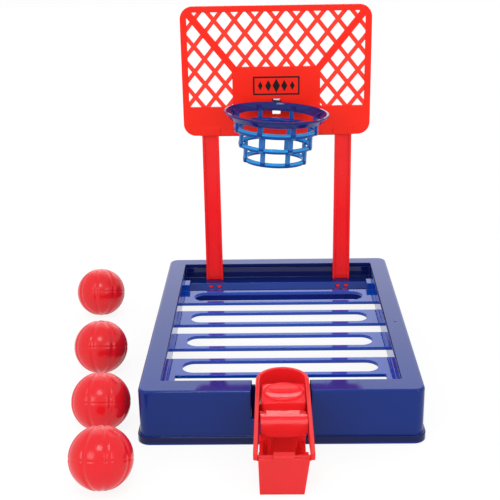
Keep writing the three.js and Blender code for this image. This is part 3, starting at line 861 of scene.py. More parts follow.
@dataclass
class Tray:
    """The slatted moulding under the rim, with the posts' hollow crossbar."""

    bottom: float = 14.0
    skirt: float = 1.8
    top: float = 28.5
    slat_top: float = 21.2
    slat: float = 2.0
    slat_width: float = 21.3
    first_slat: float = 47.9
    pitch: float = 34.2
    slats: int = 4
    slot: Pair = (111.0, 14.1)
    bar_depth: float = 10.6
    bar_height: float = 5.0
    bar_wall: float = 1.6
    window: float = 3.1
    window_spacing: float = 5.6
    window_shift: float = 0.4
    window_drop: float = 1.6
    window_rise: float = 1.5
    window_round: float = 0.98
    rear_block: Triple = (4.4, 8.5, 4.4)
    front_block: Pair = (5.2, 7.0)

    def __post_init__(self) -> None:
        """Works out the slats' centres and the heights that they lie between."""
        self.places = [self.first_slat + i * self.pitch for i in range(self.slats)]
        self.slat_span = (self.slat_top - self.slat, self.slat_top)

    def body(self, base: Base) -> Solid:
        """Models the skirt with its slats and corner blocks.

        Args:
            base: the base that the tray fits.

        Returns:
            The body.
        """
        half, front, rear, out = base.opening_half, base.front_rim, base.opening_rear, self.skirt
        corner = base.opening_corner
        through = (self.bottom - OVERRUN, self.top + OVERRUN)
        ring = Solid.rounded(
            half + out, (front - out, rear + out), (self.bottom, self.top), out + corner, 3
        )
        ring.cut(Solid.rounded(half, (front, rear), through, corner, 3))
        clear = base.notch_width / 2 + base.cheek + FIT
        ring.cut(Solid.block(clear, (0, front + OVERRUN), through))
        reach = half + out / 2
        bars = [Solid.block(reach, around(y, self.slat_width), self.slat_span) for y in self.places]
        first = self.places[0] - self.slat_width / 2
        last = self.places[-1] + self.slat_width / 2 - EMBED
        wide, deep = self.front_block
        near = Solid.block((half - wide, reach), (first - deep, first + EMBED), self.slat_span)
        wide, deep, tall = self.rear_block
        high = (self.slat_span[0], self.slat_top + tall)
        far = Solid.block((half - wide, reach), (last, last + deep), high)
        return ring.join(*bars, near.mirrored(), far.mirrored())

    def slots(self) -> list[Solid]:
        """Models the cutters of the slats' long slots.

        Returns:
            The cutters.
        """
        (length, width), (low, high) = self.slot, self.slat_span
        z, radius = (low - OVERRUN, high + OVERRUN), width / 2 - SLACK
        return [Solid.rounded(length / 2, around(y, width), z, radius, 10) for y in self.places]

    def bar(self, base: Base, posts: "Posts") -> Solid:
        """Models the hollow crossbar with the posts' sockets and the windows.

        Args:
            base: the base that the tray fits.
            posts: the posts that stand on the bar.

        Returns:
            The crossbar.
        """
        reach, top = base.opening_half + self.skirt / 2, self.slat_top
        front, back = base.opening_rear - self.bar_depth, base.opening_rear + self.skirt / 2
        low, inside = top - self.bar_height, front + self.bar_wall
        bar = Solid.block(reach, (front, back), (top - self.bar_wall, top))
        bar.join(Solid.block(reach, (front, inside), (low, top)))
        half = posts.tenon_width / 2 + FIT
        socket = (posts.tenon_front - FIT, posts.tenon_front + posts.tenon + FIT)
        for x in posts.places:
            bar.cut(Solid.block((x - half, x + half), socket, (low, top + OVERRUN)),
                    *self.windows(x, (front - OVERRUN, inside + OVERRUN)))
        return bar

    def windows(self, x: float, span: Pair, play: float = 0.0) -> list[Solid]:
        """Models what fills the two windows of one post, flat above and round below.

        Args:
            x: the middle of the post.
            span: where the fillings start and end.
            play: how much smaller than the windows they are.

        Returns:
            The two fillings.
        """
        top, radius = self.slat_top - self.window_drop - play, self.window / 2 - play
        made = []
        for side in SIDES:
            middle = x + self.window_shift + side * self.window_spacing / 2
            z = (top - radius * self.window_rise, top)
            shape = Solid.block((middle - radius, middle + radius), span, z)
            shape.bevel(radius * self.window_round, 6, Axis.Y, lambda p: p.z < top - radius)
            made.append(shape)
        return made

    def build(self, workshop: Workshop, base: Base, posts: "Posts") -> None:
        """Finishes the tray."""
        solid = self.body(base).cut(*self.slots()).join(self.bar(base, posts)).clean()
        workshop.finish("tray_moulding", solid, TRAY_BLUE, "slatted_tray")


@dataclass
class Posts:
    """The two channel posts."""

    spacing: float = 87.0
    foot_width: float = 11.4
    top_width: float = 10.9
    depth: float = 4.2
    front: float = 180.3
    foot: float = 21.2
    top: float = 123.1
    flange: float = 1.5
    recess: float = 1.3
    tenon_width: float = 8.8
    tenon: float = 2.1
    tenon_inset: float = 1.5
    tenon_height: float = 8.0
    foot_drop: float = 8.5
    slit: Pair = (2.2, 6.6)
    barb: Pair = (0.9, 2.0)
    prong_setback: float = 0.35
    prong_play: float = 0.15

    def __post_init__(self) -> None:
        """Works out where the posts stand and where their tenons start."""
        self.places = (-self.spacing / 2, self.spacing / 2)
        self.tenon_front = self.front + self.tenon_inset

    def post(self, tray: Tray, bar_front: float) -> Solid:
        """Models one post in the middle plane.

        Args:
            tray: the tray, whose windows the prongs show in.
            bar_front: the front face of the tray's crossbar.

        Returns:
            The post.
        """

        def outline(inset: float, run: float) -> list[Pair]:
            """Draws the post's outline.

            Args:
                inset: how much narrower it is on each side.
                run: how much longer it is at each end.

            Returns:
                The outline.
            """
            foot, top = self.foot_width / 2 - inset, self.top_width / 2 - inset
            low, high = self.foot - run, self.top + run
            return [(-foot, low), (foot, low), (top, high), (-top, high)]

        front, back, face = self.front, self.front + self.depth, self.tenon_front
        groove = outline(self.flange, OVERRUN)
        body = Solid.prism(outline(0, 0), Axis.Y, (front, back)).cut(
            Solid.prism(groove, Axis.Y, (front - OVERRUN, front + self.recess)),
            Solid.prism(groove, Axis.Y, (back - self.recess, back + OVERRUN)),
        )
        half, low, rear = self.tenon_width / 2, self.foot - self.foot_drop, face + self.tenon
        tenon = Solid.block(half, (face, rear), (low, self.top + self.tenon_height))
        proud, tall = self.barb
        high = self.foot - Tray.bar_wall - FIT
        barb = Solid.prism(
            [(face + EMBED, high), (face - proud, high), (face, high - tall),
             (face + EMBED, high - tall)],
            Axis.X, half,
        )
        gap, rise = self.slit
        slit = Solid.block(gap / 2, (face - OVERRUN, rear + OVERRUN), (low - OVERRUN, low + rise))
        prongs = tray.windows(0.0, (bar_front + self.prong_setback, face + EMBED), self.prong_play)
        return body.join(tenon, barb).cut(slit).join(*prongs).clean()

    def build(self, workshop: Workshop, tray: Tray, bar_front: float) -> None:
        """Finishes both posts.

        Args:
            workshop: where they are finished.
            tray: the tray, whose windows the prongs show in.
            bar_front: the front face of the tray's crossbar.
        """
        for x, word in zip(self.places, ("left", "right")):
            solid = self.post(tray, bar_front).move(x=x)
            workshop.finish(f"{word}_post_moulding", solid, POST_RED, f"{word}_post", edge=0.25)


@dataclass
class Backboard:
    """The framed plate with its lattice, braces, panel and sockets."""

    width: float = 121.4
    height: float = 83.1
    bottom: float = 123.1
    thickness: float = 2.4
    corner: float = 8.0
    hole_corner: float = 0.8
    side_band: float = 4.05
    top_band: float = 3.8
    lower_band: float = 19.0
    pitch: Pair = (13.1, 16.2)
    top_node: float = 8.9
    bar: float = 2.65
    setback: float = 0.5
    lattice: float = 1.5
    brace: float = 4.45
    panel_width: float = 56.6
    panel_top: float = 38.4
    ink: float = 0.05
    slot: Pair = (5.2, 10.2)
    slot_bottom: float = 13.8
    socket_wall: float = 1.9
    socket_rise: float = 10.0
    socket_front_rise: float = 5.1
    socket_proud: float = 0.5
    print_size: Pair = (30.0, 12.0)
    print_height: float = 32.5
    print_line: float = 1.0
    diamond_share: Pair = (0.40, 0.38)
    diamond_pitch: float = 0.86
    diamond_shrink: float = 0.18

    def __post_init__(self) -> None:
        """Works out the board's upper edge."""
        self.top = self.bottom + self.height

    def zones(self) -> list[list[Pair]]:
        """Works out the outlines of the three lattice windows.

        Returns:
            The outlines, anticlockwise.
        """
        side, panel = self.width / 2 - self.side_band, self.panel_width / 2
        high, low = self.top - self.top_band, self.bottom + self.lower_band
        shelf, rise = self.top - self.panel_top, self.pitch[1] / self.pitch[0]
        run = (self.brace / 2) * math.hypot(1, 1 / rise)
        corner = panel + (high - shelf) / rise
        upper = [(-panel + run, shelf), (panel - run, shelf), (corner - run, high),
                 (-corner + run, high)]
        right = [(panel, low), (side, low), (side, shelf + (side - panel - run) * rise),
                 (panel, shelf - run * rise)]
        return [upper, right, [(-x, z) for x, z in reversed(right)]]

    def frame(self, front: float) -> Solid:
        """Models the frame with its braces and panel.

        Args:
            front: where the board's front face lies.

        Returns:
            The frame.
        """
        back, low = front + self.thickness, self.bottom + self.slot_bottom
        through = (front - OVERRUN, back + OVERRUN)
        frame = Solid.rounded(
            self.width / 2, (front, back), (self.bottom, self.top), self.corner, 12, Axis.Y
        )
        holes = [
            Solid.prism(zone, Axis.Y, through).bevel(self.hole_corner, 3, Axis.Y)
            for zone in self.zones()
        ]
        return frame.cut(*holes, Solid.block(self.slot[0] / 2, through, (low, low + self.slot[1])))

    def lattice_zone(self, zone: Sequence[Pair], front: float) -> Solid:
        """Models the lattice of one window as a rhombic grid with inset holes.

        Args:
            zone: the window's outline, anticlockwise.
            front: the lattice's front face.

        Returns:
            The lattice, trimmed a little outside the window.
        """
        wide, tall = self.pitch
        cells = 2 * math.ceil(self.width / wide) + 2
        lay = (
            Matrix.Translation((0, front, self.top - self.top_node))
            @ Matrix.Diagonal((wide / math.sqrt(2), 1, tall / math.sqrt(2), 1))
            @ Matrix.Rotation(math.radians(45), 4, "Y")
            @ Matrix.Rotation(math.radians(90), 4, "X")
        )
        made = Solid.made(
            bmesh.ops.create_grid, x_segments=cells, y_segments=cells, size=cells / 2, matrix=lay
        )
        margin = wide + tall
        (left, right), (low, high) = ((min(c) - margin, max(c) + margin) for c in zip(*zone))
        for face in list(made.bm.faces):
            x, _, z = face.calc_center_median()
            if not (left < x < right and low < z < high):
                made.bm.faces.remove(face)
        holes = list(made.bm.faces)
        bmesh.ops.inset_individual(
            made.bm, faces=holes, thickness=self.bar / 2, use_even_offset=True
        )
        bmesh.ops.delete(made.bm, geom=holes, context="FACES")
        bmesh.ops.remove_doubles(made.bm, verts=made.bm.verts, dist=1e-3)
        for (x0, z0), (x1, z1) in zip(zone, [*zone[1:], zone[0]]):
            out = Vector((z1 - z0, 0, x0 - x1)).normalized()
            made.slice(Vector((x0, 0, z0)) + out * (self.side_band / 4), out)
        made.recalc().extrude(list(made.bm.faces), (0, self.lattice, 0))
        return made.recalc()

    def sockets(self, front: float, posts: Posts) -> tuple[list[Solid], list[Solid]]:
        """Models the patches and pockets that take the posts' tenons.

        Args:
            front: where the board's front face lies.
            posts: the posts.

        Returns:
            The patches, and the cutters of the pockets.
        """
        half = posts.foot_width / 2 + self.socket_wall / 2
        inner, low = posts.tenon_width / 2 + FIT, self.bottom
        back = posts.tenon_front + posts.tenon + FIT
        patches, pockets = [], []
        for x in posts.places:
            outer = (x - half, x + half)
            for start, end, rise in (
                (front - self.socket_proud, front + self.thickness / 2, self.socket_front_rise),
                (front + self.thickness - EMBED, back + self.socket_wall, self.socket_rise),
            ):
                patches.append(Solid.block(outer, (start, end), (low, low + rise)))
            pockets.append(
                Solid.block((x - inner, x + inner), (posts.tenon_front - FIT, back),
                            (low - OVERRUN, low + posts.tenon_height + FIT))
            )
        return patches, pockets

    def printed_motif(self, front: float) -> Solid:
        """Models the print: a thin frame round a row of diamonds.

        Args:
            front: where the board's front face lies.

        Returns:
            The ink film.
        """
        film = (front - self.ink, front + 2 * self.ink)
        wide, tall = self.print_size
        z, line = self.bottom + self.print_height, self.print_line
        low, high = around(z, tall)
        motif = Solid.block(wide / 2, film, (low, high)).cut(
            Solid.block(wide / 2 - line, (film[0] - 1, film[1] + 1), (low + line, high - line))
        )
        step = wide / 5
        for i in range(-2, 3):
            grow, x = 1.0 - self.diamond_shrink * abs(i), i * step * self.diamond_pitch
            a, b = self.diamond_share[0] * step * grow, self.diamond_share[1] * tall * grow
            motif.add(Solid.prism([(x - a, z), (x, z - b), (x + a, z), (x, z + b)], Axis.Y, film))
        return motif

    def build(self, workshop: Workshop, posts: Posts) -> None:
        """Finishes the board, its lattice and its print.

        Args:
            workshop: where they are finished.
            posts: the posts that carry the board.
        """
        front = posts.front
        patches, pockets = self.sockets(front, posts)
        frame = self.frame(front).join(*patches).cut(*pockets).clean()
        lattice = Solid().add(*(self.lattice_zone(z, front + self.setback) for z in self.zones()))
        workshop.finish("board_moulding", frame, BOARD_RED, "backboard", 0.35)
        workshop.finish("board_lattice", lattice, LATTICE_RED, edge=0.25)
        workshop.finish("panel_print", self.printed_motif(front), INK, edge=0.0)


@dataclass
class Hoop:
    """The conical rim and its moulded net."""

    radius: float = 32.4
    bottom_radius: float = 29.3
    band: float = 4.6
    wall: float = 1.5
    lip: Pair = (1.7, 1.1)
    ledge: Pair = (3.2, 1.0)
    gap: float = 1.9
    top: float = 146.0
    roll: float = 3.2
    tilt: float = 0.9
    ring_radii: Triple = (26.4, 23.1, 19.9)
    ring_tops: Triple = (8.8, 18.9, 28.2)
    ring_heights: Triple = (3.4, 2.9, 2.9)
    ring_depths: Triple = (3.2, 2.9, 2.7)
    ring_power: float = 0.72  # fuller than an ellipse
    ring_sides: int = 16
    rib_proud: float = 0.8
    rib: Pair = (1.8, 2.9)
    rib_end: float = 0.5
    rib_step: float = 0.05
    rib_corner: float = 0.5
    strip_drop: float = 0.4
    ribs: int = 8
    neck: Pair = (4.2, 4.0)
    neck_rise: float = 1.4
    head: Pair = (6.8, 1.8)
    sides: int = 128

    def rim(self) -> Solid:
        """Models the rim's band.

        Returns:
            The rim.
        """
        (lip_width, lip_height), (ledge_width, ledge_height) = self.lip, self.ledge
        low, foot, radius = -self.band, self.bottom_radius, self.radius
        taper, under, ledge = radius - lip_height, -lip_height - self.wall / 2, foot - ledge_width
        profile = [
            (ledge, low), (foot, low), (taper, under), (radius, -lip_height), (radius, 0),
            (radius - lip_width, 0), (taper - self.wall, under),
            (foot - self.wall, low + ledge_height), (ledge, low + ledge_height),
        ]
        return Solid.turned(profile, self.sides)

    def ring(self, i: int) -> Solid:
        """Models one ring of the net with a rounded section.

        Args:
            i: the ring's number, from the top.

        Returns:
            The ring.
        """
        a, b = self.ring_depths[i] / 2, self.ring_heights[i] / 2
        centre, middle = self.ring_radii[i] - a, -self.ring_tops[i] - b
        profile = []
        for step in range(self.ring_sides):
            angle = step * math.pi / (self.ring_sides / 2)
            c, s = (
                math.copysign(abs(v) ** self.ring_power, v)
                for v in (math.cos(angle), math.sin(angle))
            )
            profile.append((centre + a * c, middle + b * s))
        return Solid.turned(profile, self.sides)

    def tier(self, i: int) -> list[Solid]:
        """Models the ribs that carry one ring.

        Args:
            i: the ring's number, from the top.

        Returns:
            The ribs. The top ones lean on the inside of the rim with a strip of their own.
        """
        thick, wide = self.rib
        outer = self.ring_radii[i] + self.rib_proud
        low = -self.ring_tops[i] - self.ring_heights[i] + self.rib_end - self.rib_step * i
        high = root = -self.band + self.ledge[1] / 2
        if i:
            high = -self.ring_tops[i - 1] - self.ring_heights[i - 1] / 2
        tip, wall = -self.lip[1] - self.strip_drop, self.radius - self.lip[1] - self.wall
        lean = [(outer - thick, root), (outer, root), (wall + EMBED, tip), (wall - EMBED, tip)]
        ribs = []
        for n in range(self.ribs):
            x, y = (outer - thick, outer), around(0, wide)
            parts = [Solid.rounded(x, y, (low, high), self.rib_corner, 4)]
            if not i:
                parts.append(Solid.prism(lean, Axis.Y, wide / 2))
            angle = (n + 0.5) * 2 * math.pi / self.ribs
            ribs.extend(part.turn(Matrix.Rotation(angle, 4, "Z")) for part in parts)
        return ribs

    def hook(self, board: Backboard) -> Solid:
        """Models the neck and head that hang in the board's slot.

        Args:
            board: the board.

        Returns:
            The hook.
        """
        (wide, tall), (head_wide, head_thick) = self.neck, self.head
        face = self.radius + self.gap + board.thickness + FIT
        high = -self.lip[1] / 3 + self.neck_rise
        z = (high - tall, high)
        neck = Solid.block(wide / 2, (self.radius - self.lip[0], face + EMBED), z)
        return neck.join(Solid.block(head_wide / 2, (face, face + head_thick), z))

    def painted_light_and_shade(self, hang: Matrix) -> tuple[MouldedPlastic, MouldedPlastic]:
        """Shades the rings and the ribs by their height in the hanging hoop.

        Args:
            hang: where the hoop hangs.

        Returns:
            The rings' finish, with a painted highlight on top of each ring and a darker painted
            reflection over the far side, and the ribs', with painted shade where they cross a ring
            and inside the rim's band, paler tier by tier towards the bottom.
        """
        up = hang.to_3x3().col[2]
        zero, across = up.dot(hang.translation), tuple(up)
        # The first list holds the rings' painted highlight and painted reflection, the second the
        # ribs' painted shade.
        pale, rib_painted_shade = [], []
        for i, (top, tall) in enumerate(zip(self.ring_tops, self.ring_heights)):
            high = zero - top
            # painted highlight along the top of each ring
            pale.append(Band(high - 1.3, high + 1.0, srgb(30, 140, 208), across, 0.35))
            if i:
                # ribs paler tier by tier towards the bottom
                shade = srgb(34, 92 + 8 * i, 166 + 4 * i)
                rib_painted_shade.append(Band(high, high + 8.0, shade, across, 0.6))
            # painted shade where the ribs cross a ring
            rib_painted_shade.append(Band(high - tall, high, srgb(4, 50, 124), across, 0.4))
        # painted shade on the ribs inside the rim's band
        rib_painted_shade.append(Band(zero - self.band + 0.5, zero + 2.0, srgb(14, 30, 104), across, 0.8))
        # darker painted reflection of the board over the rings' far side
        far = hang.translation.y + self.radius / 2
        pale.append(Band(far, far + self.radius, srgb(18, 44, 128), BACK, 3.0))
        return replace(RING_BLUE, bands=tuple(pale)), replace(RIB_BLUE, bands=tuple(rib_painted_shade))

    def build(self, workshop: Workshop, posts: Posts, board: Backboard) -> None:
        """Finishes the hoop in its hanging place.

        Args:
            workshop: where it is finished.
            posts: the posts, whose front the board lies on.
            board: the board that it hangs from.
        """
        centre = posts.front - self.gap - self.radius
        tilt = Euler((math.radians(-self.tilt), math.radians(self.roll), 0.0))
        hang = Matrix.Translation((0, centre, self.top)) @ tilt.to_matrix().to_4x4()
        rings, ribs = Solid(), Solid()
        for i in range(len(self.ring_radii)):
            rings.add(self.ring(i))
            ribs.add(*self.tier(i))
        ring_blue, rib_blue = self.painted_light_and_shade(hang)
        workshop.finish("hoop_rim", self.rim().turn(hang), RIM_BLUE, "hoop")
        workshop.finish("hoop_rings", rings.turn(hang), ring_blue, edge=0.0)
        workshop.finish("hoop_ribs", ribs.turn(hang), rib_blue)
        workshop.finish("hoop_hook", self.hook(board).turn(hang), RIM_BLUE)


@dataclass
class Launcher:
    """The finger launcher: a housing, its foot and the lever."""

    shift: float = 0.8
    back_half: float = 14.0
    front_half: float = 14.9
    wall: float = 2.1
    arc_centre: float = 10.0
    front: float = 47.4
    top: float = 33.0
    shoulder: float = 6.0
    front_top: float = 22.2
    front_bottom: float = 18.8
    middle: Pair = (8.0, 15.5)
    bar_setback: float = 2.1
    bar: Pair = (2.2, 2.5)
    bar_drop: float = 2.4
    end_corner: float = 1.5
    edges: Triple = (0.6, 0.28, 0.28)
    saddle_floor: float = 1.8
    saddle_wall: float = 1.8
    saddle_drop: float = 9.0
    saddle_width: float = 22.0
    saddle_back: float = 12.5
    foot_top: float = 12.5
    foot_bottom: float = 10.85
    foot_height: float = 19.8
    foot_lean: float = 1.1
    foot_wall: float = 1.8
    foot_length: float = 33.1
    hollow_top: float = 19.0
    waist: float = 10.5
    waist_start: float = 20.0
    foot_slope: float = 9.0
    bulkhead: Pair = (7.9, 18.6)
    skin: float = 0.12
    shoulder_rise: float = 4.2
    channel: Pair = (5.1, 1.0)
    tab: float = 0.9
    pivot: Pair = (-8.0, 21.0)
    trunnion: float = 1.5
    boss: float = 2.7
    plate_half: float = 11.3
    plate_back: Pair = (12.0, 29.0)
    plate_front: Pair = (-7.5, 29.5)
    plate_skirt: float = 5.6
    plate_corner: float = 1.2
    bowl: Triple = (10.6, 9.1, 3.0)
    bowl_front: Pair = (-6.6, 29.5)
    bowl_back: Pair = (11.6, 30.1)
    bowl_edge: float = 0.35
    corner_drop: float = 1.3
    dish: Pair = (9.9, 1.2)
    dish_draw: float = 0.79
    lever_wall: float = 1.6
    web_half: float = 10.3
    web_bottom: float = 18.2
    web_front: float = -12.0
    valley: Pair = (-9.8, 22.0)
    side_play: float = 0.45
    pad_half: float = 11.8
    pad_back: float = -16.9
    pad_front: float = -25.3
    pad_toe: float = -26.4
    pad_top: float = 27.0
    pad_bottom: float = 19.3
    pad_corner: float = 2.4
    pad_edge: float = 0.4
    pad_crown: float = 0.02
    crown_shift: float = 0.9
    pin_inset: float = 0.4
    rest: Triple = (6.0, 3.0, 0.3)

    def __post_init__(self) -> None:
        """Works out the height of the front bar and of the tab that lies over it."""
        self.bar_top = self.front_top - self.bar_drop
        self.tab_low = self.bar_top + FIT

    def half_at(self, y: float) -> float:
        """Returns the housing's half width at a place along it."""
        share = (self.arc_centre - y) / (self.arc_centre + self.front)
        return self.back_half + (self.front_half - self.back_half) * share

    def band(self) -> Solid:
        """Models the housing's wall: two flared sides joined by a half turn.

        Returns:
            The band, as tall as the housing at its back.
        """
        made = Solid()
        inner, outer, middle = self.back_half - self.wall, self.back_half, self.arc_centre
        corners = [(inner, 0.0), (outer, 0.0), (outer, self.top), (inner, self.top)]
        first = made.bm.faces.new([made.bm.verts.new((x, middle, z)) for x, z in corners])
        spun = bmesh.ops.spin(
            made.bm, geom=[first], cent=(0, middle, 0), axis=UP, angle=math.pi, steps=40,
            use_duplicate=False,
        )
        last = next(f for f in spun["geom_last"] if isinstance(f, bmesh.types.BMFace))
        flare = self.front_half - self.back_half
        for end, out in ((first, flare), (last, -flare)):
            made.extrude([end], (out, -middle - self.front, 0))
            if end.is_valid:
                made.bm.faces.remove(end)
        bmesh.ops.remove_doubles(made.bm, verts=made.bm.verts, dist=HAIR)
        return made.recalc()

    def housing(self, base: Base) -> Solid:
        """Models the housing with its saddle and front bar.

        Args:
            base: the base whose wall it straddles.

        Returns:
            The housing.
        """
        sill, near, across = base.notch_sill + FIT, -self.front, self.front_half + OVERRUN
        back, top = self.arc_centre + self.back_half + OVERRUN, self.top - 0.001
        side = Solid.prism(
            [(near - OVERRUN, self.front_bottom), (-self.middle[0], self.middle[1]), (-FIT, sill),
             (back, sill), (back, top), (self.shoulder, top), (near - OVERRUN, self.front_top)],
            Axis.X, across,
        )
        housing = self.band().keep(side).bevel(
            self.end_corner, 6, Axis.X, lambda p: p.y < near + 0.1 and p.z < self.front_top - 1
        )
        bar = near + self.bar_setback
        bar_half, floor_half = (self.half_at(y) - self.wall + EMBED for y in (bar, 0))
        half, low, behind = self.saddle_width / 2, sill - self.saddle_drop, base.wall + FIT
        front = -FIT - self.saddle_wall
        housing.join(
            Solid.block(bar_half, (bar, bar + self.bar[0]),
                        (self.bar_top - self.bar[1], self.bar_top)),
            Solid.block(floor_half, (front, self.saddle_back), (sill, sill + self.saddle_floor)),
            Solid.block(half, (front, -FIT), (low, sill + EMBED)),
            Solid.block(half, (behind, behind + self.saddle_wall), (low, sill + EMBED)),
        )
        return housing.cut(self.axle(self.trunnion + FIT, (-across, across))).clean()

    def axle(self, radius: float, x: Pair) -> Solid:
        """Models a round bar on the lever's axis.

        Args:
            radius: its radius.
            x: where it starts and ends.

        Returns:
            The bar.
        """
        turn = Matrix.Rotation(math.radians(90), 4, "Y")
        place = Matrix.Translation((sum(x) / 2, *self.pivot)) @ turn
        return self.cylinder(radius, x[1] - x[0], 32, place)

    @staticmethod
    def cylinder(radius: float, depth: float, segments: int, matrix: Matrix) -> Solid:
        """Returns a cylinder along Z, which a matrix then places."""
        return Solid.made(
            bmesh.ops.create_cone, cap_ends=True, segments=segments, radius1=radius,
            radius2=radius, depth=depth, matrix=matrix,
        )

    def tapered(self, inset: float, y: Pair, z: Pair) -> Solid:
        """Models a block that tapers as the foot does.

        Args:
            inset: how far it lies inside the foot's sides.
            y: its front and back.
            z: its bottom and top.

        Returns:
            The block.
        """
        slope = (self.foot_top - self.foot_bottom) / self.foot_height
        (low, high), (a, b) = z, (self.foot_bottom + slope * h - inset for h in z)
        return Solid.prism([(-a, low), (a, low), (b, high), (-b, high)], Axis.Y, y)

    def foot(self) -> Solid:
        """Models the foot with its bulkhead and the tab over the housing's bar.

        Returns:
            The foot.
        """
        front, back, high = -self.front, -self.front + self.foot_length, self.foot_height
        inside, rear = front + self.foot_wall, back - self.foot_wall
        under, waist = self.bar_top - self.bar[1] - FIT, front + self.waist_start
        side = Solid.prism(
            [(front, 0), (back, 0), (back, self.waist), (waist, self.waist),
             (waist - self.foot_slope, under), (inside, under), (inside, high), (front, high)],
            Axis.X, self.foot_top + OVERRUN,
        )
        foot = self.tapered(0, (front, back), (0, high)).keep(side)
        foot.cut(self.tapered(self.foot_wall, (inside, rear), (-OVERRUN, high + OVERRUN)))
        (half, tall), (groove, depth) = self.bulkhead, self.channel
        bulkhead = Solid.block(half, (rear - depth, back - self.skin), (0, tall)).cut(
            Solid.block(groove, (inside, rear - self.skin), (-OVERRUN, tall + OVERRUN))
        )
        tab_back, tab_top = front + self.bar_setback + self.bar[0] + FIT, self.tab_low + self.tab
        shoulder = self.tapered(
            self.skin, (rear + self.skin, back - self.skin / 2),
            (self.waist - EMBED, self.waist + self.shoulder_rise),
        )
        slant = Matrix.Identity(4)
        slant[0][2], slant[0][3] = self.foot_lean / high, -self.foot_lean
        return foot.join(
            shoulder,
            bulkhead,
            Solid.block(groove, (front, inside), (high - EMBED, tab_top)),
            Solid.block(groove, (front, tab_back), (self.tab_low, tab_top)),
        ).turn(slant).clean()

    def bowl_seat(self) -> Matrix:
        """Works out where the dish's rim lies.

        Returns:
            Its middle and its slight tilt.
        """
        (near, low), (back, high) = self.bowl_front, self.bowl_back
        tilt = Matrix.Rotation(math.atan2(high - low, back - near), 4, "X")
        return Matrix.Translation((0, (near + back) / 2, (low + high) / 2)) @ tilt

    def dish_cutter(self) -> Solid:
        """Models the cutter of the shallow round dish in the tilted plate.

        Returns:
            The cutter.
        """
        radius, depth = self.dish
        sphere = (radius**2 + depth**2) / (2 * depth)
        sweep = math.asin(radius / sphere)
        arc = [
            (sphere * math.sin(sweep * i / 12), sphere * (1 - math.cos(sweep * i / 12)) - depth)
            for i in range(13)
        ]
        cutter = Solid.turned([*arc, (radius, depth), (0.0, depth)], 96, closed=False)
        return cutter.turn(self.bowl_seat() @ Matrix.Diagonal((1, self.dish_draw, 1, 1)))

    def bowl_rim(self) -> Solid:
        """Models the oval disc that the dish is sunk into.

        Returns:
            The disc.
        """
        wide, deep, tall = self.bowl
        place = Matrix.Diagonal((wide, deep, 1, 1)) @ Matrix.Translation((0, 0, -tall / 2))
        disc = self.cylinder(1, tall, 96, place)
        disc.bevel(self.bowl_edge, 4, test=lambda p: abs(p.z) < HAIR)
        return disc.turn(self.bowl_seat())

    def pad(self) -> Solid:
        """Models the press pad, crowned on top and convex below.

        Returns:
            The pad.
        """
        half, front, back, top = self.pad_half, self.pad_front, self.pad_back, self.pad_top
        middle, low = (front + back) / 2 + self.crown_shift, self.pad_bottom - 1
        steps = [back + (front - back) * i / 10 for i in range(11)]
        crown = [(y, top - self.pad_crown * (y - middle) ** 2) for y in steps]
        pad = Solid.prism(
            [(self.pad_toe, low), (back + self.lever_wall, low), *crown], Axis.X, half + OVERRUN
        ).bevel(self.pad_edge, 6, Axis.X, lambda p: p.y < front + 0.01 and p.z > top - 3)
        shares = [i / 12 for i in range(-12, 13)]
        lower = [(half * s, self.pad_bottom + self.pad_corner * abs(s) ** 5) for s in shares]
        face = [*lower, (half, top + OVERRUN), (-half, top + OVERRUN)]
        return pad.keep(Solid.prism(face, Axis.Y, (self.pad_toe - OVERRUN, 0.0)))

    def lever(self, base: Base) -> Solid:
        """Models the lever with its dish, web, pad and trunnions.

        Args:
            base: the base, whose sill sets the height of the saddle's floor.

        Returns:
            The lever.
        """
        (back, back_top), (near, near_top) = self.plate_back, self.plate_front
        skirt, wall, low = self.plate_skirt, self.lever_wall, self.web_bottom
        plate = Solid.prism(
            [(near, near_top - skirt), (back, back_top - skirt), (back, back_top),
             ((near + back) / 2, near_top - FIT), (near, near_top - self.corner_drop)],
            Axis.X, self.plate_half,
        ).bevel(self.plate_corner, 6, Axis.Z)
        toe = self.pad_back - wall
        middle, thick, gap = self.rest
        web = Solid.prism(
            [(toe, self.pad_bottom), (self.web_front, low), (middle, low),
             (back - wall, back_top - skirt + EMBED), (near + EMBED, near_top - skirt + EMBED),
             self.valley, (self.web_front, self.valley[1]),
             (self.pad_back, self.pad_top - EMBED), (toe, self.pad_top - EMBED)],
            Axis.X, self.web_half,
        )
        lever = plate.join(self.bowl_rim(), web, self.pad())
        lever.cut(self.lever_hollow(), self.dish_cutter()).move(x=self.side_play)
        inside = self.half_at(self.pivot[0]) - self.wall
        root = self.web_half - wall
        pins = self.axle(self.trunnion, (root, inside + self.wall - self.pin_inset)).mirrored()
        bosses = self.axle(self.boss, (root, inside - FIT)).mirrored()
        sill = base.notch_sill + FIT + self.saddle_floor
        rib = Solid.block(
            self.web_half - wall / 2, around(middle, thick), (sill + gap, low + wall)
        )
        return lever.join(pins, bosses, rib).clean()

    def lever_hollow(self) -> Solid:
        """Models the cutter of the hollow under the lever.

        Returns:
            The cutter.
        """
        (back, back_top), wall, low = self.plate_back, self.lever_wall, self.web_bottom - OVERRUN
        under, near = back_top - self.dish[1] - wall, self.plate_front[0] + wall
        floor, high = self.valley[1] - wall, self.pad_top - wall
        return Solid.prism(
            [(self.pad_toe + wall, self.pad_bottom - OVERRUN), (back - wall, low),
             (back - wall, under), (near, under), (near, floor), (self.web_front, floor),
             (self.pad_back - wall, high), (self.pad_front + wall, high)],
            Axis.X, self.web_half - wall,
        )

    def is_inner_side(self, place: Vector, normal: Vector) -> bool:
        """Tells whether a face is the inner side of the housing's wall.

        Args:
            place: the face's middle.
            normal: the face's normal.

        Returns:
            Whether it is.
        """
        x, y = place.x - self.shift, place.y - self.arc_centre
        away = math.hypot(x, y) if y > 0 else abs(x) + self.back_half - self.half_at(place.y)
        inside = place.y > 1.0 - self.front and away < self.back_half - self.wall + NEAR
        return upright(normal) and inside

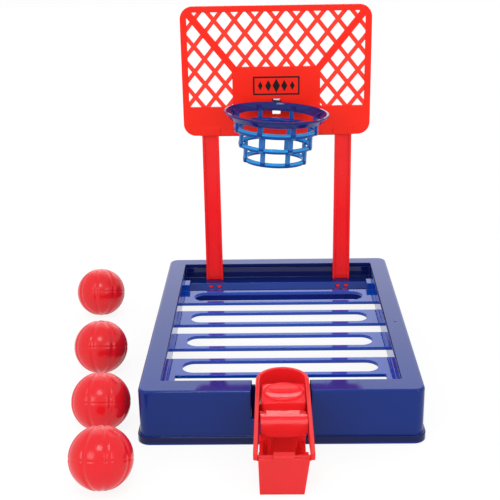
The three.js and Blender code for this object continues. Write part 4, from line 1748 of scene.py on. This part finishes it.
    def is_hollow_wall(self, place: Vector, _: Vector) -> bool:
        """Tells whether a face is the inner side of the foot.

        Args:
            place: the face's middle.

        Returns:
            Whether it is.
        """
        half, inset = self.foot_top - self.foot_wall / 2, self.foot_wall + NEAR
        x = (self.shift - half, self.shift + half)
        y = (inset - self.front, self.foot_length - self.front - inset / 2)
        return within(x, y, (-math.inf, self.hollow_top))(place)

    def build(self, workshop: Workshop, base: Base) -> None:
        """Finishes the housing, the foot and the lever.

        Args:
            workshop: where they are finished.
            base: the base that they stand on and in front of.
        """
        # The housing's inner sides and the foot's hollow get the brighter reds as painted light.
        inner, hollow = (PAINTED_LIGHT_INNER_RED, self.is_inner_side), (PAINTED_LIGHT_HOLLOW_RED, self.is_hollow_wall)
        for word, solid, finish, body, accents, edge in zip(
            ("housing", "foot", "lever"), (self.housing(base), self.foot(), self.lever(base)),
            (RED, RED, LEVER_RED), (Body.GAME, Body.GAME, Body.LEVER),
            ([inner], [hollow], []), self.edges,
        ):
            workshop.finish(f"{word}_moulding", solid.move(x=self.shift), finish,
                            f"launcher_{word}", edge, 4, body.value, accents)


@dataclass
class Balls:
    """The four balls, each welded from two grooved half shells."""

    count: int = 4
    wall: float = 1.4
    sectors: int = 8
    first_seam: float = 14.0
    seam_step: float = 7.0
    groove_depth: float = 0.42
    groove_width: float = 1.15
    groove_fade: float = 0.16
    weld_depth: float = 0.2
    weld_width: float = 0.4
    lean: float = 25.0
    segments: int = 192
    rings: int = 128
    crease: float = 50.0

    def half(self, radius: float, side: int, turn: float) -> Solid:
        """Models one half shell round the origin.

        Args:
            radius: the ball's radius.
            side: 1 for the upper half and -1 for the lower.
            turn: how far the seams are turned, in degrees.

        Returns:
            The half shell.
        """
        made = Solid.made(
            bmesh.ops.create_uvsphere, u_segments=self.segments, v_segments=self.rings,
            radius=radius,
        ).slice((0, 0, 0), (0, 0, -side))
        for vert in made.bm.verts:
            vert.co *= 1 - self.sink(vert.co, radius, turn) / radius
        made.recalc()
        if sum(f.normal.dot(f.calc_center_median()) for f in made.bm.faces) < 0:
            bmesh.ops.reverse_faces(made.bm, faces=made.bm.faces)
        bmesh.ops.solidify(made.bm, geom=list(made.bm.faces), thickness=self.wall)
        for edge in made.bm.edges:
            edge.smooth = edge.is_manifold and edge.calc_face_angle() < math.radians(self.crease)
        return made

    def sink(self, place: Vector, radius: float, turn: float) -> float:
        """Works out how deep the surface lies under the sphere.

        Args:
            place: a place on the sphere.
            radius: the sphere's radius.
            turn: how far the seams are turned, in degrees.

        Returns:
            The depth.
        """
        lean, step = math.radians(self.lean), math.pi / self.sectors * 2
        y = place.y * math.cos(lean) - place.z * math.sin(lean)
        z = place.y * math.sin(lean) + place.z * math.cos(lean)
        weld = self.weld_depth * math.exp(-((z / self.weld_width) ** 2))
        azimuth = math.atan2(y, place.x) - math.radians(turn)
        out = math.hypot(place.x, y)
        away = out * math.sin((azimuth + step / 2) % step - step / 2)
        groove = self.groove_depth * math.exp(-((away / self.groove_width) ** 4))
        return weld + min(1.0, out / (self.groove_fade * radius)) * groove

    def build(self, workshop: Workshop) -> None:
        """Finishes every half shell in its solid's place.

        Args:
            workshop: where they are finished.
        """
        for n in range(1, self.count + 1):
            low, high = (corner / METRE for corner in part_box(f"ball_{n}_lower_half"))
            centre, radius = (low + high) / 2, (high.x - low.x) / 2
            turn = -90 + self.first_seam + self.seam_step * n
            for side, word in zip(SIDES, ("lower", "upper")):
                solid = self.half(radius, side, turn).move(centre.x, centre.y, high.z)
                workshop.finish(f"ball_{n}_{word}_shell", solid, BALL_RED,
                                f"ball_{n}_{word}_half", 0.0, body=f"ball_{n}")


@dataclass
class Studio:
    """The pale floor, the soft light and the camera."""

    camera: Triple = (-4.395, -457.74, 275.825)
    pitch: float = 20.0434
    yaw: float = -1.2987
    roll: float = -1.0419
    lens: float = 71.51
    sensor: float = 36.0
    clip: Pair = (0.01, 50.0)
    aim: Triple = (0.0, 90.0, 60.0)
    floor_half: float = 6000.0
    floor_grey: float = 0.93
    world_level: float = 0.96
    floor_glow: float = 0.88
    key: tuple[float, ...] = (-560.0, -760.0, 620.0, 380.0, 1.8)  # place, size and watts
    fill: tuple[float, ...] = (640.0, -700.0, 560.0, 380.0, 1.2)
    top: tuple[float, ...] = (-60.0, -420.0, 860.0, 220.0, 1.6)
    back: tuple[float, ...] = (0.0, 1500.0, 1000.0, 1800.0, 10.0)

    @staticmethod
    def hang(name: str, data: bpy.types.ID) -> bpy.types.Object:
        """Puts a new object with some data into the scene.

        Args:
            name: the object's name.
            data: a mesh, a lamp or a camera.

        Returns:
            The object.
        """
        made = bpy.data.objects.new(name, data)
        bpy.context.scene.collection.objects.link(made)
        return made

    def place_camera(self) -> None:
        """Puts the camera where the photograph was taken from."""
        turn = Matrix.Translation(Vector(self.camera) * METRE)
        for angle, axis in ((-self.yaw, "Z"), (90 - self.pitch, "X"), (self.roll, "Z")):
            turn @= Matrix.Rotation(math.radians(angle), 4, axis)
        data = bpy.data.cameras.new("camera")
        data.lens, data.sensor_width, data.sensor_fit = self.lens, self.sensor, "HORIZONTAL"
        data.clip_start, data.clip_end = self.clip
        made = self.hang("camera", data)
        made.matrix_world = turn
        bpy.context.scene.camera = made

    def lay_floor(self) -> None:
        """Lays a floor that is white in view and in reflections, with the object's shadow."""
        bm, mesh = bmesh.new(), bpy.data.meshes.new("floor")
        bmesh.ops.create_grid(bm, x_segments=1, y_segments=1, size=self.floor_half * METRE)
        bm.to_mesh(mesh)
        bm.free()
        material = bpy.data.materials.new("studio_floor")
        graph = Graph(material)
        lit = graph.node("BsdfDiffuse", {"Color": (*[self.floor_grey] * 3, 1.0)})
        plain = graph.node("Emission", {"Strength": 1.0})
        mixed = graph.node("MixShader", {0: self.seen(graph) * self.floor_glow, 1: lit, 2: plain})
        graph.node("OutputMaterial", {"Surface": mixed})
        mesh.materials.append(material)
        self.hang("floor", mesh)

    @staticmethod
    def seen(graph: Graph) -> Wire:
        """Makes a mask of what the camera sees, straight or by a glossy or clear surface.

        Args:
            graph: the graph of the floor or the world.

        Returns:
            The mask.
        """
        path = graph.node("LightPath", output="Is Camera Ray")
        more = (path.socket.node.outputs[f"Is {word} Ray"] for word in ("Glossy", "Transmission"))
        return sum((Wire(graph, socket) for socket in more), path)

    def light_world(self) -> None:
        """Sets the world: a soft fill that reads as white in view and in reflections."""
        world = bpy.data.worlds.new("studio")
        bpy.context.scene.world = world
        graph = Graph(world)
        level = self.world_level + self.seen(graph) * (1.0 - self.world_level)
        shader = graph.node("Background", {"Color": (1.0, 1.0, 1.0, 1.0), "Strength": level})
        graph.node("OutputWorld", {"Surface": shader})

    def build(self) -> None:
        """Sets the whole studio up, with soft square lamps that face the game."""
        bpy.context.scene.view_settings.view_transform = "Standard"
        self.place_camera()
        self.lay_floor()
        self.light_world()
        lamps = {"key": self.key, "fill": self.fill, "top": self.top, "back": self.back}
        for name, (*place, size, watts) in lamps.items():
            data = bpy.data.lights.new(name, "AREA")
            data.shape, data.size, data.energy = "SQUARE", size * METRE, watts
            made = self.hang(name, data)
            made.location = Vector(place) * METRE
            aim = Vector(self.aim) * METRE - made.location
            made.rotation_euler = aim.to_track_quat("-Z", "Y").to_euler()


def main() -> None:
    """Builds the sub-assemblies in order."""
    logging.basicConfig(level=logging.INFO, format="%(name)s %(message)s")
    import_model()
    workshop = Workshop()
    base, tray, posts, board = Base(), Tray(), Posts(), Backboard()
    Studio().build()
    base.build(workshop)
    tray.build(workshop, base, posts)
    posts.build(workshop, tray, base.opening_rear - tray.bar_depth)
    board.build(workshop, posts)
    Hoop().build(workshop, posts, board)
    Launcher().build(workshop, base)
    Balls().build(workshop)


if __name__ == "__main__":
    main()
